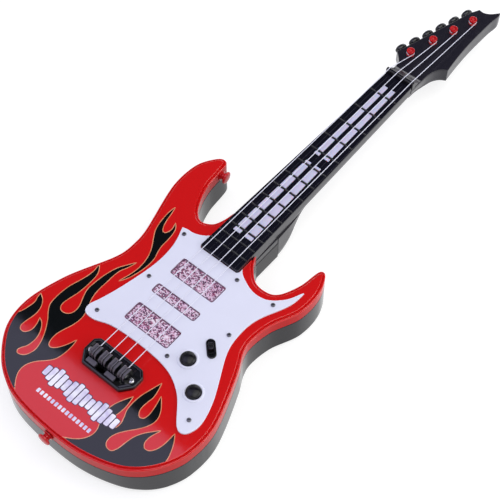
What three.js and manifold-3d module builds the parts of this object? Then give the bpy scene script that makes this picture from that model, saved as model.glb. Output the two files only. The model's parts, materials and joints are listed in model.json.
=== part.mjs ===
// Toy electric guitar lying on its flat back: +Z out of the front face, +Y along the neck to the
// headstock, +X to the treble side. Origin on the back plane under the string line, at the bridge.
// Millimetres.
import * as THREE from 'three';
import { mergeVertices } from 'three/addons/utils/BufferGeometryUtils.js';
import Module from 'manifold-3d';

const wasm = await Module();
wasm.setup();

// ---------------------------------------------------------------- driving dimensions
const BODY_T = 37; // back plane to front face
const SEAM = 26; // parting line between the two body shells
const SEAM_GAP = 0.3;
const WALL = 2.6; // moulded wall thickness
const POCKET_HALF = 18.25; // half width of the neck pocket
const POCKET_END = 113.2; // closed end of the neck pocket
const TONGUE_TOP = 21.5; // tongue of the back shell that carries the neck heel
const TONGUE_END = 157.3;
const BOARD_END = 109.6; // body end of the fretboard
const NUT_Y = 332.5;
const NUT_TOP_Y = 334.5;
const BOARD_Z = 37.2; // underside of the fretboard
const BOARD_TOP = 40.2;
const NECK_SEAM = 27.5;
const HEAD_TOP = 36;
const HEAD_BOTTOM = 19;
const GUARD_Z = 37.05;
const GUARD_TOP = 38.2;
const STRING_R = 0.3;
const STRING_BRIDGE_Z = 45.4;
const STRING_NUT_Z = 44.8;
const STRAP_Z = 29.5; // the strap buttons stand on the wall of the front shell
const SADDLE_Y = -6.2; // middle of the saddles
const BUTTON_R = 5.6;
const BUTTON_TOP = 42.2;
const boardHalf = (y) => 18.2 - (y - 110) * (5.3 / 218); // the board narrows towards the nut

// ---------------------------------------------------------------- helpers
const V = (x, y) => new THREE.Vector2(x, y);

// smooth run through a few points, end point left out; a span is divided by how far it turns
function run(points, closed = false, turn = 0.2) {
  const curve = new THREE.CatmullRomCurve3(
    points.map(([x, y]) => new THREE.Vector3(x, y, 0)), closed, 'centripetal');
  const spans = closed ? points.length : points.length - 1;
  const out = [];
  for (let i = 0; i < spans; i++) {
    const bend = curve.getTangent((i + 0.01) / spans).angleTo(curve.getTangent((i + 0.99) / spans));
    const steps = Math.max(1, Math.round(bend / turn));
    for (let k = 0; k < steps; k++) {
      const p = curve.getPoint((i + k / steps) / spans);
      out.push(V(p.x, p.y));
    }
  }
  return out;
}
const straight = (points) => points.map(([x, y]) => V(x, y));

const area = (poly) => THREE.ShapeUtils.area(poly);

// the outline moved outwards by d (inwards when negative), point for point; d may differ by point
function grow(poly, d) {
  const s = Math.sign(area(poly));
  const n = poly.length;
  return poly.map((p, i) => {
    const a = poly[(i + n - 1) % n];
    const b = poly[(i + 1) % n];
    const e1 = p.clone().sub(a).normalize();
    const e2 = b.clone().sub(p).normalize();
    const t = e1.clone().add(e2).normalize();
    const mitre = 1 / Math.max(0.6, Math.sqrt((1 + e1.dot(e2)) / 2));
    const step = (typeof d === 'number' ? d : d[i]) * s * mitre;
    return V(p.x + t.y * step, p.y - t.x * step);
  });
}

function edgeDistance(p, poly) {
  let best = Infinity;
  for (let i = 0; i < poly.length; i++) {
    const a = poly[i];
    const b = poly[(i + 1) % poly.length];
    const ab = b.clone().sub(a);
    const t = Math.min(1, Math.max(0, p.clone().sub(a).dot(ab) / ab.lengthSq()));
    best = Math.min(best, p.distanceTo(a.clone().addScaledVector(ab, t)));
  }
  return best;
}
// inward offset without the loops that form in tight places
function inset(poly, d) {
  const kept = [];
  for (const p of grow(poly, -d)) {
    if (edgeDistance(p, poly) < d - 0.04) continue;
    if (kept.every((q) => q.distanceTo(p) > 0.4)) kept.push(p);
  }
  return kept;
}

function solid(geometry) {
  const g = geometry.clone();
  for (const name of Object.keys(g.attributes)) if (name !== 'position') g.deleteAttribute(name);
  const m = mergeVertices(g, 1e-4);
  const p = m.attributes.position.array;
  let tri = Array.from(m.index.array);
  const clean = [];
  for (let i = 0; i < tri.length; i += 3) {
    const [a, b, c] = [tri[i], tri[i + 1], tri[i + 2]];
    if (a !== b && b !== c && a !== c) clean.push(a, b, c);
  }
  tri = clean;
  let volume = 0;
  const v = (i) => new THREE.Vector3(p[3 * i], p[3 * i + 1], p[3 * i + 2]);
  for (let i = 0; i < tri.length; i += 3) {
    volume += v(tri[i]).dot(v(tri[i + 1]).cross(v(tri[i + 2])));
  }
  if (volume < 0) for (let i = 0; i < tri.length; i += 3) [tri[i], tri[i + 1]] = [tri[i + 1], tri[i]];
  return new wasm.Manifold(new wasm.Mesh({
    numProp: 3, vertProperties: new Float32Array(p), triVerts: new Uint32Array(tri) }));
}
const join = (...s) => s.reduce((a, b) => a.add(b));
const cut = (s, ...tools) => tools.reduce((a, b) => a.subtract(b), s);

function faceted(manifold) {
  const { vertProperties, triVerts } = manifold.getMesh();
  const g = new THREE.BufferGeometry();
  g.setAttribute('position', new THREE.BufferAttribute(new Float32Array(vertProperties), 3));
  g.setIndex(Array.from(triVerts));
  const flat = g.toNonIndexed();
  flat.computeVertexNormals();
  return flat;
}

function box(x0, x1, y0, y1, z0, z1) {
  const g = new THREE.BoxGeometry(x1 - x0, y1 - y0, z1 - z0);
  g.translate((x0 + x1) / 2, (y0 + y1) / 2, (z0 + z1) / 2);
  return solid(g);
}
function rod(radius, from, to, sides = 16, radiusEnd = radius) {
  const a = new THREE.Vector3(...from);
  const b = new THREE.Vector3(...to);
  const g = new THREE.CylinderGeometry(radiusEnd, radius, a.distanceTo(b), sides);
  g.applyQuaternion(new THREE.Quaternion().setFromUnitVectors(
    new THREE.Vector3(0, 1, 0), b.clone().sub(a).normalize()));
  g.translate((a.x + b.x) / 2, (a.y + b.y) / 2, (a.z + b.z) / 2);
  return solid(g);
}
function prism(poly, z0, z1) {
  const g = new THREE.ExtrudeGeometry(new THREE.Shape(poly), { depth: z1 - z0, bevelEnabled: false });
  g.translate(0, 0, z0);
  return solid(g);
}
// turned piece: [radius, height] profile about an axis that starts at `at` and points along `axis`
function turned(profile, at, axis = [0, 0, 1], sides = 20) {
  const g = new THREE.LatheGeometry(profile.map(([r, h]) => V(r, h)), sides);
  g.applyQuaternion(new THREE.Quaternion().setFromUnitVectors(
    new THREE.Vector3(0, 1, 0), new THREE.Vector3(...axis).normalize()));
  g.translate(...at);
  return solid(g);
}
// closed skin over rings of the same point count; each ring is a list of 3-D points, and `cap` is a
// flat outline with the same points, which says how the two ends are filled
function skin(rings, cap) {
  const n = rings[0].length;
  const pos = rings.flat().flatMap((p) => [p.x, p.y, p.z]);
  const tri = [];
  for (let r = 0; r + 1 < rings.length; r++) {
    for (let i = 0; i < n; i++) {
      const j = (i + 1) % n;
      const [a, b, c, d] = [r * n + i, r * n + j, (r + 1) * n + j, (r + 1) * n + i];
      tri.push(a, b, c, a, c, d);
    }
  }
  const last = (rings.length - 1) * n;
  const ccw = area(cap) > 0;
  for (const [a, b, c] of THREE.ShapeUtils.triangulateShape(cap, [])) {
    tri.push(...(ccw ? [c, b, a] : [a, b, c]));
    tri.push(...(ccw ? [a, b, c] : [c, b, a]).map((k) => k + last));
  }
  const g = new THREE.BufferGeometry();
  g.setAttribute('position', new THREE.Float32BufferAttribute(pos, 3));
  g.setIndex(tri);
  return solid(g);
}
// stack of flat outlines [outline, z]
const stack = (levels) => skin(
  levels.map(([poly, z]) => poly.map((p) => new THREE.Vector3(p.x, p.y, z))), levels.at(-2)[0]);

const disc = (n) => Array.from({ length: n }, (_, k) => V(Math.cos((2 * Math.PI * k) / n), Math.sin((2 * Math.PI * k) / n)));

function stadium(cx, cy, half, r, angle, steps = 6) {
  const out = [];
  for (const side of [1, -1]) {
    for (let i = 0; i <= steps; i++) {
      const t = -Math.PI / 2 + (Math.PI * i) / steps + (side < 0 ? Math.PI : 0);
      out.push(V(side * half + r * Math.cos(t), r * Math.sin(t)));
    }
  }
  return out.map((p) => p.rotateAround(V(0, 0), angle).add(V(cx, cy)));
}
function roundRect(x0, x1, y0, y1, r, steps = 4) {
  const out = [];
  const corners = [[x1 - r, y0 + r, -90], [x1 - r, y1 - r, 0], [x0 + r, y1 - r, 90], [x0 + r, y0 + r, 180]];
  for (const [cx, cy, start] of corners) {
    for (let i = 0; i <= steps; i++) {
      const t = ((start + (90 * i) / steps) * Math.PI) / 180;
      out.push(V(cx + r * Math.cos(t), cy + r * Math.sin(t)));
    }
  }
  return out;
}

// ---------------------------------------------------------------- materials
const paint = (color, roughness, metalness = 0) => new THREE.MeshStandardMaterial({ color, roughness, metalness });
const red = paint(0xc8101a, 0.18);
const black = paint(0x17171b, 0.3);
const shellBlack = paint(0x26262a, 0.35);
const white = paint(0xe4e2f2, 0.25);
const clear = paint(0xe9c4d2, 0.1);
const pale = paint(0xc9c6dc, 0.3);
const chrome = paint(0xc8c8cc, 0.2, 1);
const darkChrome = paint(0x77777c, 0.3, 1);
const boardGreen = paint(0x2a6b3a, 0.5);
const cellWrap = paint(0x3a5f9c, 0.4);
const wire = paint(0xd8d8dc, 0.25, 1);

const guitar = new THREE.Group();
function add(name, shape, material) {
  const mesh = new THREE.Mesh(faceted(shape), material);
  mesh.name = name;
  guitar.add(mesh);
  return mesh;
}

// ---------------------------------------------------------------- body outline
const BODY = run([
  [-19.2, 150.5], [-21.2, 141], [-25.2, 132.2], [-33.5, 128.4], [-40.3, 132.3], [-47, 143.6],
  [-51, 156.7], [-54.6, 182.3], [-58, 183.6], [-61.4, 182.2], [-69.5, 170.9], [-72.3, 161],
  [-72.3, 141], [-59.9, 92.5], [-59.1, 81.5], [-60.4, 68], [-78.7, 25.5], [-85.7, -7.3],
  [-81.5, -29.5], [-66, -50.1], [-51.8, -60.3], [-34.3, -66.8], [21.5, -69.1], [54, -60.9],
  [66.3, -53.4], [75.6, -43.6], [82.8, -31.2], [86.2, -19.8], [86.6, 3], [70.7, 48.5], [64, 62],
  [61.9, 71], [64.3, 90.5], [74.2, 115], [74.4, 136], [68.3, 150.5], [65.7, 152.3], [63.1, 151],
  [59.3, 131.5], [52, 116], [46, 112.3], [34, 112.7], [23, 122.3], [14, 139], [5, 148.5],
  [-5, 153.5], [-13, 154.6], [-17.4, 153.2],
], true);
const hollow = inset(BODY, WALL).filter((p, i) => i % 2 === 0);
const deepHollow = inset(BODY, 2.1 * WALL).filter((p, i) => i % 2 === 0);
// radius of the back edge: small round the sides, large under the tail
const BACK_EDGE = BODY.map((p, i) => {
  const n = BODY.length;
  const along = BODY[(i + 1) % n].clone().sub(BODY[(i + n - 1) % n]).normalize();
  const tail = p.y < -40 ? THREE.MathUtils.smoothstep(Math.abs(along.x), 0.5, 0.98) : 0;
  return THREE.MathUtils.lerp(2.4, 8, tail);
});
const neckRoot = (z0, z1) => box(-22.5, 22.5, POCKET_END - WALL, 170, z0, z1); // stays solid beside the pocket
const pocket = box(-POCKET_HALF, POCKET_HALF, POCKET_END, 170, TONGUE_TOP, 60);

// ---------------------------------------------------------------- places of the controls and fasteners
const BUTTONS = [['button_upper', 37.9, 32.5], ['button_lower', 58.1, 15.3]];
const SWITCH = { x: 44.9, y: 49.3, angle: (-44.6 * Math.PI) / 180 };
const GUARD_SCREWS = [[-34.6, 110.1], [-29.8, 65.9], [-39.1, 20.5], [24.8, 24.9],
  [69.6, -2.5], [47.3, 65.9], [21.9, 104.7], [55.6, 105.2]];
const BODY_SCREWS = [[-62, 2], [66, -6], [-61, 150]];
const NECK_SCREWS = [[0, 124], [0, 147]];
const LENSES = [['pickup_lens_neck', 78.3, 94.3], ['pickup_lens_middle', 57.9, 66.2],
  ['pickup_lens_bridge', 28.9, 45.4]];
const LENS_HALF = 20.5;
const BRIDGE_SCREWS = [['bridge_screw_bass', -19.3], ['bridge_screw_treble', 19.6]];
const BRIDGE_SCREW_Y = -6.4;
const LAMPS = [['lamp_bridge', 37], ['lamp_middle', 62], ['lamp_neck', 86]];
const SPEAKER = { x: -34, y: 20, r: 19.5 };
const CELLS = { x: 26.9, y0: -54, y1: -7.4, top: 17.6 }; // battery compartment, half length and rows
const COVER = { x: 34, y0: -57.5, y1: -3.9 };
const COVER_SCREW = { x: 30.4, y: -31 };
const STRAP_BUTTONS = [['strap_button_tail', [0, -69.9, STRAP_Z], [0, -1, 0]],
  ['strap_button_horn', [-53.15, 174, STRAP_Z], [0.9903, 0.139, 0]]];

// ---------------------------------------------------------------- back shell
{
  const tongue = straight([[-18, 95], [18, 95], [18, 168], [-18, 168]]);
  const rounding = [0.25, 0.75, 1.15, Math.PI / 2].map((a, k) => {
    const ring = grow(BODY, BACK_EDGE.map((r) => -r * (1 - Math.sin(a))));
    return ring.map((p, i) => new THREE.Vector3(p.x, p.y, k && BACK_EDGE[i] * (1 - Math.cos(a))));
  });
  const outer = join(
    skin([...rounding, BODY.map((p) => new THREE.Vector3(p.x, p.y, SEAM - SEAM_GAP / 2))], BODY),
    cut(stack([[grow(tongue, -4.5), 0], [grow(tongue, -2.2), 0.6], [grow(tongue, -0.6), 2.2], [tongue, 4.5],
      [tongue, TONGUE_TOP]]), box(-30, 30, TONGUE_END, 180, -1, 40)));
  const inner = join(
    cut(join(prism(deepHollow, WALL, 8), prism(hollow, 6.8, 30)), neckRoot(0, 40)),
    box(-15.5, 15.5, 104, TONGUE_END - WALL, WALL, TONGUE_TOP - 2.3));
  let shell = cut(outer, inner, pocket);
  // battery tray with a rebate for its cover
  shell = join(shell, box(-CELLS.x - 1.8, CELLS.x + 1.8, CELLS.y0 - 1.8, CELLS.y1 + 1.8, 0.5, CELLS.top + 1.8),
    box(CELLS.x + 1.8, COVER.x + 1.5, -38, -24, 0.5, 9),
    box(-COVER.x - 1.5, COVER.x + 1.5, COVER.y0 - 1.5, COVER.y1 + 1.5, 2, 4.2));
  shell = cut(shell,
    box(-CELLS.x, CELLS.x, CELLS.y0, CELLS.y1, -1, CELLS.top),
    box(-COVER.x, COVER.x, COVER.y0, COVER.y1, -1, 2.6),
    rod(2.1, [COVER_SCREW.x, COVER_SCREW.y, -1], [COVER_SCREW.x, COVER_SCREW.y, 7.5], 10));
  for (const [x, y] of BODY_SCREWS) {
    shell = join(shell, rod(4.8, [x, y, 1], [x, y, SEAM - SEAM_GAP / 2], 12));
    shell = cut(shell, rod(3.5, [x, y, -1], [x, y, 14], 12), rod(1.7, [x, y, 10], [x, y, 30], 8));
  }
  for (const [x, y] of NECK_SCREWS) {
    shell = join(shell, rod(4.8, [x, y, 1], [x, y, TONGUE_TOP], 12));
    shell = cut(shell, rod(3.5, [x, y, -1], [x, y, 12], 12), rod(1.7, [x, y, 10], [x, y, 30], 8));
  }
  // loudspeaker grille: rows of slots inside a circle
  for (let i = -3; i <= 3; i++) {
    const off = i * 4.6;
    const half = Math.sqrt(16.5 ** 2 - off ** 2);
    shell = cut(shell, prism(stadium(SPEAKER.x, SPEAKER.y + off, half - 1.1, 1.1, 0, 2), -1, WALL + 1));
  }
  add('back_shell', shell, shellBlack);
}

// ---------------------------------------------------------------- front shell
{
  const outer = stack([[BODY, SEAM + SEAM_GAP / 2], [BODY, BODY_T - 2],
    [grow(BODY, -1), BODY_T - 1], [grow(BODY, -1.8), BODY_T]]);
  const inner = cut(prism(hollow, 20, BODY_T - WALL), neckRoot(0, 60));
  let shell = cut(outer, inner, pocket);
  for (const [x, y] of BODY_SCREWS) {
    shell = join(shell, rod(3.8, [x, y, SEAM + SEAM_GAP / 2], [x, y, BODY_T - 1], 12));
    shell = cut(shell, rod(1.6, [x, y, 20], [x, y, BODY_T - WALL], 8));
  }
  for (const [x, y] of [[-14, 76], [40, 14]]) {
    shell = join(shell, rod(2.4, [x, y, 25.9], [x, y, BODY_T - 1], 8)); // stand-offs over the board
  }
  for (const [, y0, y1] of LENSES) {
    const y = (y0 + y1) / 2;
    const half = (y1 - y0) / 2 - 2;
    shell = cut(shell, prism(roundRect(-LENS_HALF + 2, LENS_HALF - 2, y - half, y + half, 1, 2), 30, 40));
  }
  for (const [, x, y] of BUTTONS) shell = cut(shell, rod(BUTTON_R + 0.4, [x, y, 30], [x, y, 40], 20));
  shell = cut(shell, prism(stadium(SWITCH.x, SWITCH.y, 3.3, 2.4, SWITCH.angle, 5), 30, 40));
  for (const [x, y] of GUARD_SCREWS) shell = cut(shell, rod(1.15, [x, y, 30], [x, y, 40], 6));
  for (const [, x] of BRIDGE_SCREWS) shell = cut(shell, rod(1.3, [x, BRIDGE_SCREW_Y, 30], [x, BRIDGE_SCREW_Y, 40], 6));
  for (const [, at, axis] of STRAP_BUTTONS) {
    const reach = (d) => at.map((c, i) => c + axis[i] * d);
    shell = cut(shell, rod(2.3, reach(-8), reach(4), 8));
  }
  add('front_shell', shell, red);
}

// ---------------------------------------------------------------- scratch plate
{
  const outline = [
    ...run([[-18.7, 122], [-21.7, 119.4], [-26.1, 116.9], [-30.6, 115.5], [-35.5, 115.2], [-39.8, 114.2]]),
    ...run([[-39.8, 114.2], [-34.8, 98.9], [-33.6, 80], [-39.2, 47], [-44.4, 28.3], [-46.9, 21.5],
      [-47, 17.5], [-44.8, 14.2], [-37, 13.4], [-21, 18.2], [30, 17.2], [48.9, 7.8], [66.7, -11.8],
      [70.6, -13.4], [74.6, -11.7], [78, -2.2], [73.9, 16.7], [55.6, 54.4], [53.1, 65], [53, 81],
      [55.5, 91], [64, 110], [66.1, 117.5], [66.8, 127.2]]),
    ...run([[66.8, 127.2], [66, 127.4], [60, 115.4], [50, 106.4], [42, 104.4], [34, 105.4], [22, 111.2],
      [18.7, 114.6]]),
    ...straight([[18.7, 114.6], [18.6, 110.8], [17.2, 109.2], [-17.2, 109.2], [-18.6, 110.8]]),
  ];
  let plate = stack([[outline, GUARD_Z], [outline, GUARD_TOP - 0.35], [grow(outline, -0.3), GUARD_TOP]]);
  for (const [, y0, y1] of LENSES) {
    plate = cut(plate, prism(roundRect(-LENS_HALF - 0.25, LENS_HALF + 0.25, y0 - 0.25, y1 + 0.25, 2.2, 3), 36, 40));
  }
  for (const [, x, y] of BUTTONS) {
    plate = join(plate, turned([[0, -0.4], [7.9, -0.4], [7.7, 0.2], [7, 0.85], [0, 0.85]], [x, y, GUARD_TOP], [0, 0, 1], 20));
    plate = cut(plate, rod(BUTTON_R + 0.4, [x, y, 36], [x, y, 41], 20));
  }
  plate = cut(plate, prism(stadium(SWITCH.x, SWITCH.y, 3.3, 2.4, SWITCH.angle, 5), 36, 40));
  for (const [x, y] of GUARD_SCREWS) plate = cut(plate, rod(1.15, [x, y, 36], [x, y, 40], 6));
  add('scratch_plate', plate, white);
}

// ---------------------------------------------------------------- screws
// pan head with a cross recess, head top at z, shank pointing down (dir -1) or up (dir 1)
function screw(x, y, z, headR, headT, shankR, length, dir = -1) {
  const up = [0, 0, -dir];
  const body = turned([[0, -headT - length], [shankR, -headT - length], [shankR, -headT], [headR, -headT],
    [headR, -headT * 0.45], [headR * 0.6, 0], [0, 0]], [x, y, z], up, 8);
  const w = headR * 0.26;
  const l = headR * 0.66;
  const top = z - dir * headT;
  const zs = [z + dir * headT * 0.55, top].sort((a, b) => a - b);
  return cut(body, box(x - l, x + l, y - w / 2, y + w / 2, ...zs), box(x - w / 2, x + w / 2, y - l, y + l, ...zs));
}
GUARD_SCREWS.forEach(([x, y], i) => add(`guard_screw_${i + 1}`,
  screw(x, y, GUARD_TOP + 0.75, 1.7, 0.75, 0.8, 4.4), darkChrome));
BODY_SCREWS.forEach(([x, y], i) => add(`body_screw_${i + 1}`,
  screw(x, y, 11.6, 3, 2.2, 1.3, 19, 1), darkChrome));
NECK_SCREWS.forEach(([x, y], i) => add(`neck_screw_${i + 1}`,
  screw(x, y, 9.6, 3, 2.2, 1.3, 20, 1), darkChrome));

// ---------------------------------------------------------------- pickup lenses and lamps
for (const [name, y0, y1] of LENSES) {
  const r = name.includes('middle') ? 2.2 : 1.9;
  const edge = roundRect(-LENS_HALF, LENS_HALF, y0, y1, r, 3);
  add(name, stack([[edge, GUARD_Z], [edge, 38.7], [grow(edge, -0.5), 39.1]]), clear);
}
for (const [name, y] of LAMPS) {
  add(name, turned([[0, 0], [2.9, 0], [2.9, 1], [2.5, 1], [2.5, 5.2], [1.7, 7.2], [0, 7.8]],
    [0, y, 25.7], [0, 0, 1], 10), clear);
}

// ---------------------------------------------------------------- bridge
{
  const plate = straight([[-23.9, -9], [-17.6, -17.8], [17.8, -17.8], [24.6, -9.2], [24.6, 0.5],
    [20, 5.2], [-20, 5.2], [-23.9, 1.5]]);
  let base = stack([[plate, 37.05], [plate, 39.4], [grow(plate, -0.8), 40.3]]);
  base = cut(base, prism(grow(plate, -2.4), 39, 42));
  for (const [, x] of BRIDGE_SCREWS) {
    base = join(base, rod(2.5, [x, BRIDGE_SCREW_Y, 38], [x, BRIDGE_SCREW_Y, 39.7], 12));
    base = cut(base, rod(1.3, [x, BRIDGE_SCREW_Y, 36], [x, BRIDGE_SCREW_Y, 41], 8));
  }
  for (const x of [-12, 5.7]) base = join(base, box(x - 4.3, x + 4.3, -15.2, -11.4, 38.5, 41.2));
  add('bridge_base', base, black);
  for (const [name, x] of BRIDGE_SCREWS) add(name, screw(x, BRIDGE_SCREW_Y, 40.9, 2, 1.1, 1, 6), chrome);
}
const stringX = (k, at) => (k - 1.5) * (at === 'bridge' ? 8.96 : 7.47);
{
  // one moulding: a foot with four towers of three ribs, each tower bored for its string
  const y = SADDLE_Y;
  let saddles = box(-16.8, 16.8, y - 4.3, y + 4.3, 39.05, 41);
  for (let k = 0; k < 4; k++) {
    const cx = stringX(k, 'bridge');
    for (let r = -1; r <= 1; r++) {
      const x = cx + r * 2.55;
      saddles = join(saddles, prismX(x - 0.8, x + 0.8, [[y - 4.7, 40], [y - 4.7, 44.8], [y - 2.7, 47],
        [y + 3.5, 47], [y + 4.7, 45.6], [y + 4.7, 40]]));
    }
    saddles = join(saddles, prismX(cx - 3.2, cx + 3.2, [[y - 4.1, 40], [y - 4.1, 44.2], [y - 2.3, 46.2],
      [y + 3.3, 46.2], [y + 4.4, 45], [y + 4.4, 40]]));
    saddles = cut(saddles, rod(0.75, [cx, y - 1.8, STRING_BRIDGE_Z], [cx, y + 6.7, STRING_BRIDGE_Z], 6));
  }
  add('bridge_saddles', saddles, shellBlack);
}
function prismX(x0, x1, yz) {
  const g = new THREE.ExtrudeGeometry(new THREE.Shape(straight(yz)), { depth: x1 - x0, bevelEnabled: false });
  g.applyMatrix4(new THREE.Matrix4().set(0, 0, 1, x0, 1, 0, 0, 0, 0, 1, 0, 0, 0, 0, 0, 1));
  return solid(g);
}

// ---------------------------------------------------------------- push buttons and slide switch
for (const [name, x, y] of BUTTONS) {
  add(name, turned([[0, 32], [7.2, 32], [7.2, 33.2], [BUTTON_R, 33.2], [BUTTON_R, 40.2], [5.1, 41.1],
    [3.2, 41.9], [0, BUTTON_TOP]], [x, y, 0], [0, 0, 1], 20), black);
}
{
  const { x, y, angle } = SWITCH;
  let bezel = stack([[stadium(x, y, 4.55, 3.5, angle), GUARD_TOP + 0.02],
    [stadium(x, y, 4.55, 3.5, angle), 38.75], [stadium(x, y, 4.55, 3.1, angle), 39.05]]);
  bezel = cut(bezel, prism(stadium(x, y, 3.3, 2.4, angle, 5), 37, 40));
  add('switch_bezel', bezel, black);
  // slider at the neck end of its slot, with grip ribs on top and a wide foot under the front wall
  const along = (d) => V(x + d * Math.cos(angle), y + d * Math.sin(angle));
  const bar = (d, width, half, z0, z1) => {
    const g = new THREE.BoxGeometry(width, 2 * half, z1 - z0);
    g.rotateZ(angle);
    g.translate(along(d).x, along(d).y, (z0 + z1) / 2);
    return solid(g);
  };
  const middle = along(-2.15);
  const knob = join(prism(stadium(middle.x, middle.y, 0.9, 2.05, angle, 4), 32, 39.4),
    bar(-3.3, 0.6, 1.8, 39, 40.6), bar(-2.15, 0.6, 1.8, 39, 40.6), bar(-1, 0.6, 1.8, 39, 40.6),
    bar(-2.15, 7.4, 3.2, 31, 33.6));
  add('switch_slider', knob, shellBlack);
}

// ---------------------------------------------------------------- strap buttons
{
  const profile = [[0, -7], [1.9, -7], [1.9, 0.3], [4.2, 0.3], [4.2, 1], [2.7, 1.6], [2.7, 3.2],
    [5.1, 4.2], [4.7, 5.6], [0, 6.2]];
  for (const [name, at, axis] of STRAP_BUTTONS) add(name, turned(profile, at, axis, 12), red);
}

// ---------------------------------------------------------------- headstock outline
const HEAD = [
  ...straight([[-12.8, 333], [-12.9, 340]]),
  ...run([[-13.1, 345], [-13.6, 351], [-17, 355.6], [-21.8, 360.2]]),
  ...straight([[-21.8, 360.2], [-19.7, 366], [0.2, 434]]),
  ...run([[4.2, 441.9], [8.8, 441.4], [13.8, 443.7], [19.9, 450.2]]),
  ...run([[19.9, 450.2], [20.9, 446.5], [20, 436], [19.6, 420], [19.7, 404], [20.7, 387.4], [21.9, 376.5],
    [22.8, 369.6]]),
  ...run([[22.8, 369.6], [18.6, 366.6], [15.4, 361.6], [13.6, 354.5], [13, 345]]),
  ...straight([[13, 345], [12.9, 340], [12.8, 333]]),
];
const headHollow = [...straight([[-10, 345]]), ...inset(HEAD, 2.4).filter((p) => p.y > 352), V(10, 345)];
const PEG_STEP = [3.96, 13.34];
const PEG_OUT = new THREE.Vector3(-0.9587, 0.2845, 0);
const pegAt = (i) => new THREE.Vector3(-18.55 + i * PEG_STEP[0], 369.1 + i * PEG_STEP[1], NECK_SEAM);
const POSTS = [[-11.2, 364.2], [-4.6, 386.6], [2, 406.6], [8.4, 425.4]];
const pegBores = () => Array.from({ length: 6 }, (_, i) => {
  const a = pegAt(i).addScaledVector(PEG_OUT, -5).toArray();
  const b = pegAt(i).addScaledVector(PEG_OUT, 4).toArray();
  return rod(2, a, b, 8);
});

// ---------------------------------------------------------------- neck, front half
// cross-section: full width at the top, drawn in towards the seam once clear of the heel
const clearOfHeel = (y) => THREE.MathUtils.smoothstep(y, 172, 200);
{
  const stations = [113.5, 150, 172, 180, 190, 200, 260, 336];
  const ring = (y) => {
    const w = boardHalf(y) - 0.3;
    const c = clearOfHeel(y);
    const right = [[w, 37], [w, 31.5], [w - 0.5 * c, 29.4], [w - 1.5 * c, NECK_SEAM + 0.15]];
    return [...right, ...right.map(([x, z]) => [-x, z]).reverse()].map(([x, z]) => new THREE.Vector3(x, y, z));
  };
  let neck = skin(stations.map(ring), ring(stations[0]).map((p) => V(p.x, p.z)));
  neck = join(neck,
    stack([[HEAD, NECK_SEAM + 0.15], [HEAD, HEAD_TOP - 0.6], [grow(HEAD, -0.5), HEAD_TOP]]),
    prismX(-12.4, 12.4, [[328, 34], [347, 34], [347, 35.9], [344.5, 36.7], [341, 38.8], [337.9, 41.2],
      [336.8, 41.4], [336.8, 37], [328, 37]]));
  neck = cut(neck,
    box(-9.4, 9.4, 134.6, 323.4, 35.6, 40), // seat of the light strip
    box(-10.4, 10.4, 152, 321, 20, 33.4),
    prism(headHollow, 20, 33.4),
    ...pegBores());
  for (const [x, y] of NECK_SCREWS) neck = cut(neck, rod(1.6, [x, y, 20], [x, y, 33], 8));
  for (const [x, y] of POSTS) neck = cut(neck, rod(2, [x, y, 30], [x, y, 40], 8));
  add('neck_front', neck, black);
}

// ---------------------------------------------------------------- neck, back half with heel
{
  const stations = [[157.7, 0.5], [160, 0.6], [165, 1.6], [170.5, 4.8], [181, 15.6], [186, 20], [192, 23.4],
    [200, 25], [215, 25.5], [322, 25.2], [334, 25.1], [346, 24.8]];
  const ring = ([y, bottom]) => {
    const c = clearOfHeel(y);
    const w = THREE.MathUtils.lerp(17.9 - (y - 160) * 0.05, boardHalf(Math.min(y, 328)) - 1.9, c);
    const power = THREE.MathUtils.lerp(0.22, 0.75, c);
    const depth = NECK_SEAM - 0.15 - bottom;
    const out = [];
    for (let i = 0; i <= 8; i++) {
      const t = (Math.PI * i) / 8;
      const cx = Math.sign(Math.round(Math.cos(t) * 1e6)) * Math.abs(Math.cos(t)) ** power;
      const sz = i === 0 || i === 8 ? 0 : Math.sin(t) ** power;
      out.push(new THREE.Vector3(w * cx, y, NECK_SEAM - 0.15 - depth * sz));
    }
    return out;
  };
  // the back of the headstock slopes up to meet the neck
  const top = NECK_SEAM - 0.15;
  const slope = [[322, 25.2], [335, 25], [345, 24.6], [352, 23.6], [370, 20.8], [388, HEAD_BOTTOM], [460, HEAD_BOTTOM]];
  const headBottom = (y) => {
    const i = slope.findIndex(([at]) => at >= y);
    return THREE.MathUtils.mapLinear(y, slope[i - 1][0], slope[i][0], slope[i - 1][1], slope[i][1]);
  };
  const headRing = (d, z) => grow(HEAD, d).map((p) => new THREE.Vector3(
    p.x, p.y, top - ((top - z) * (top - headBottom(p.y))) / (top - HEAD_BOTTOM)));
  const head = cut(
    skin([
      grow(HEAD, -3).map((p) => new THREE.Vector3(p.x, p.y, 12)),
      headRing(-3, HEAD_BOTTOM), headRing(-1, HEAD_BOTTOM + 1.2), headRing(0, HEAD_BOTTOM + 4), headRing(0, top)], HEAD),
    prismX(-30, 30, [[300, 0], [460, 0], ...slope.map(([y, z]) => [y, z + 0.02]).reverse(), [300, 25.22]]));
  let neck = join(
    skin(stations.map(ring), ring(stations[0]).map((p) => V(p.x, p.z))),
    prism(straight([[-17.8, 113.5], [17.8, 113.5], [17.6, 160.5], [-17.6, 160.5]]), TONGUE_TOP + 0.4, NECK_SEAM - 0.15),
    head);
  neck = cut(neck,
    box(-11, 11, 163.5, 321, 27, 40),
    prismX(-13.6, 13.6, [[163, 40], [163, 6], [168, 6.5], [175, 13.5], [182, 20.5], [190, 26.5], [196, 40]]),
    prism(headHollow, 24.2, 40),
    ...pegBores());
  for (const [x, y] of NECK_SCREWS) neck = cut(neck, rod(1.6, [x, y, 20], [x, y, 40], 8));
  add('neck_back', neck, black);
}

// ---------------------------------------------------------------- fretboard, light strip, nut
const FRETS = Array.from({ length: 14 }, (_, k) => 311.2 - (20.9 * (1 - 0.938 ** k)) / 0.062);
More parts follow.
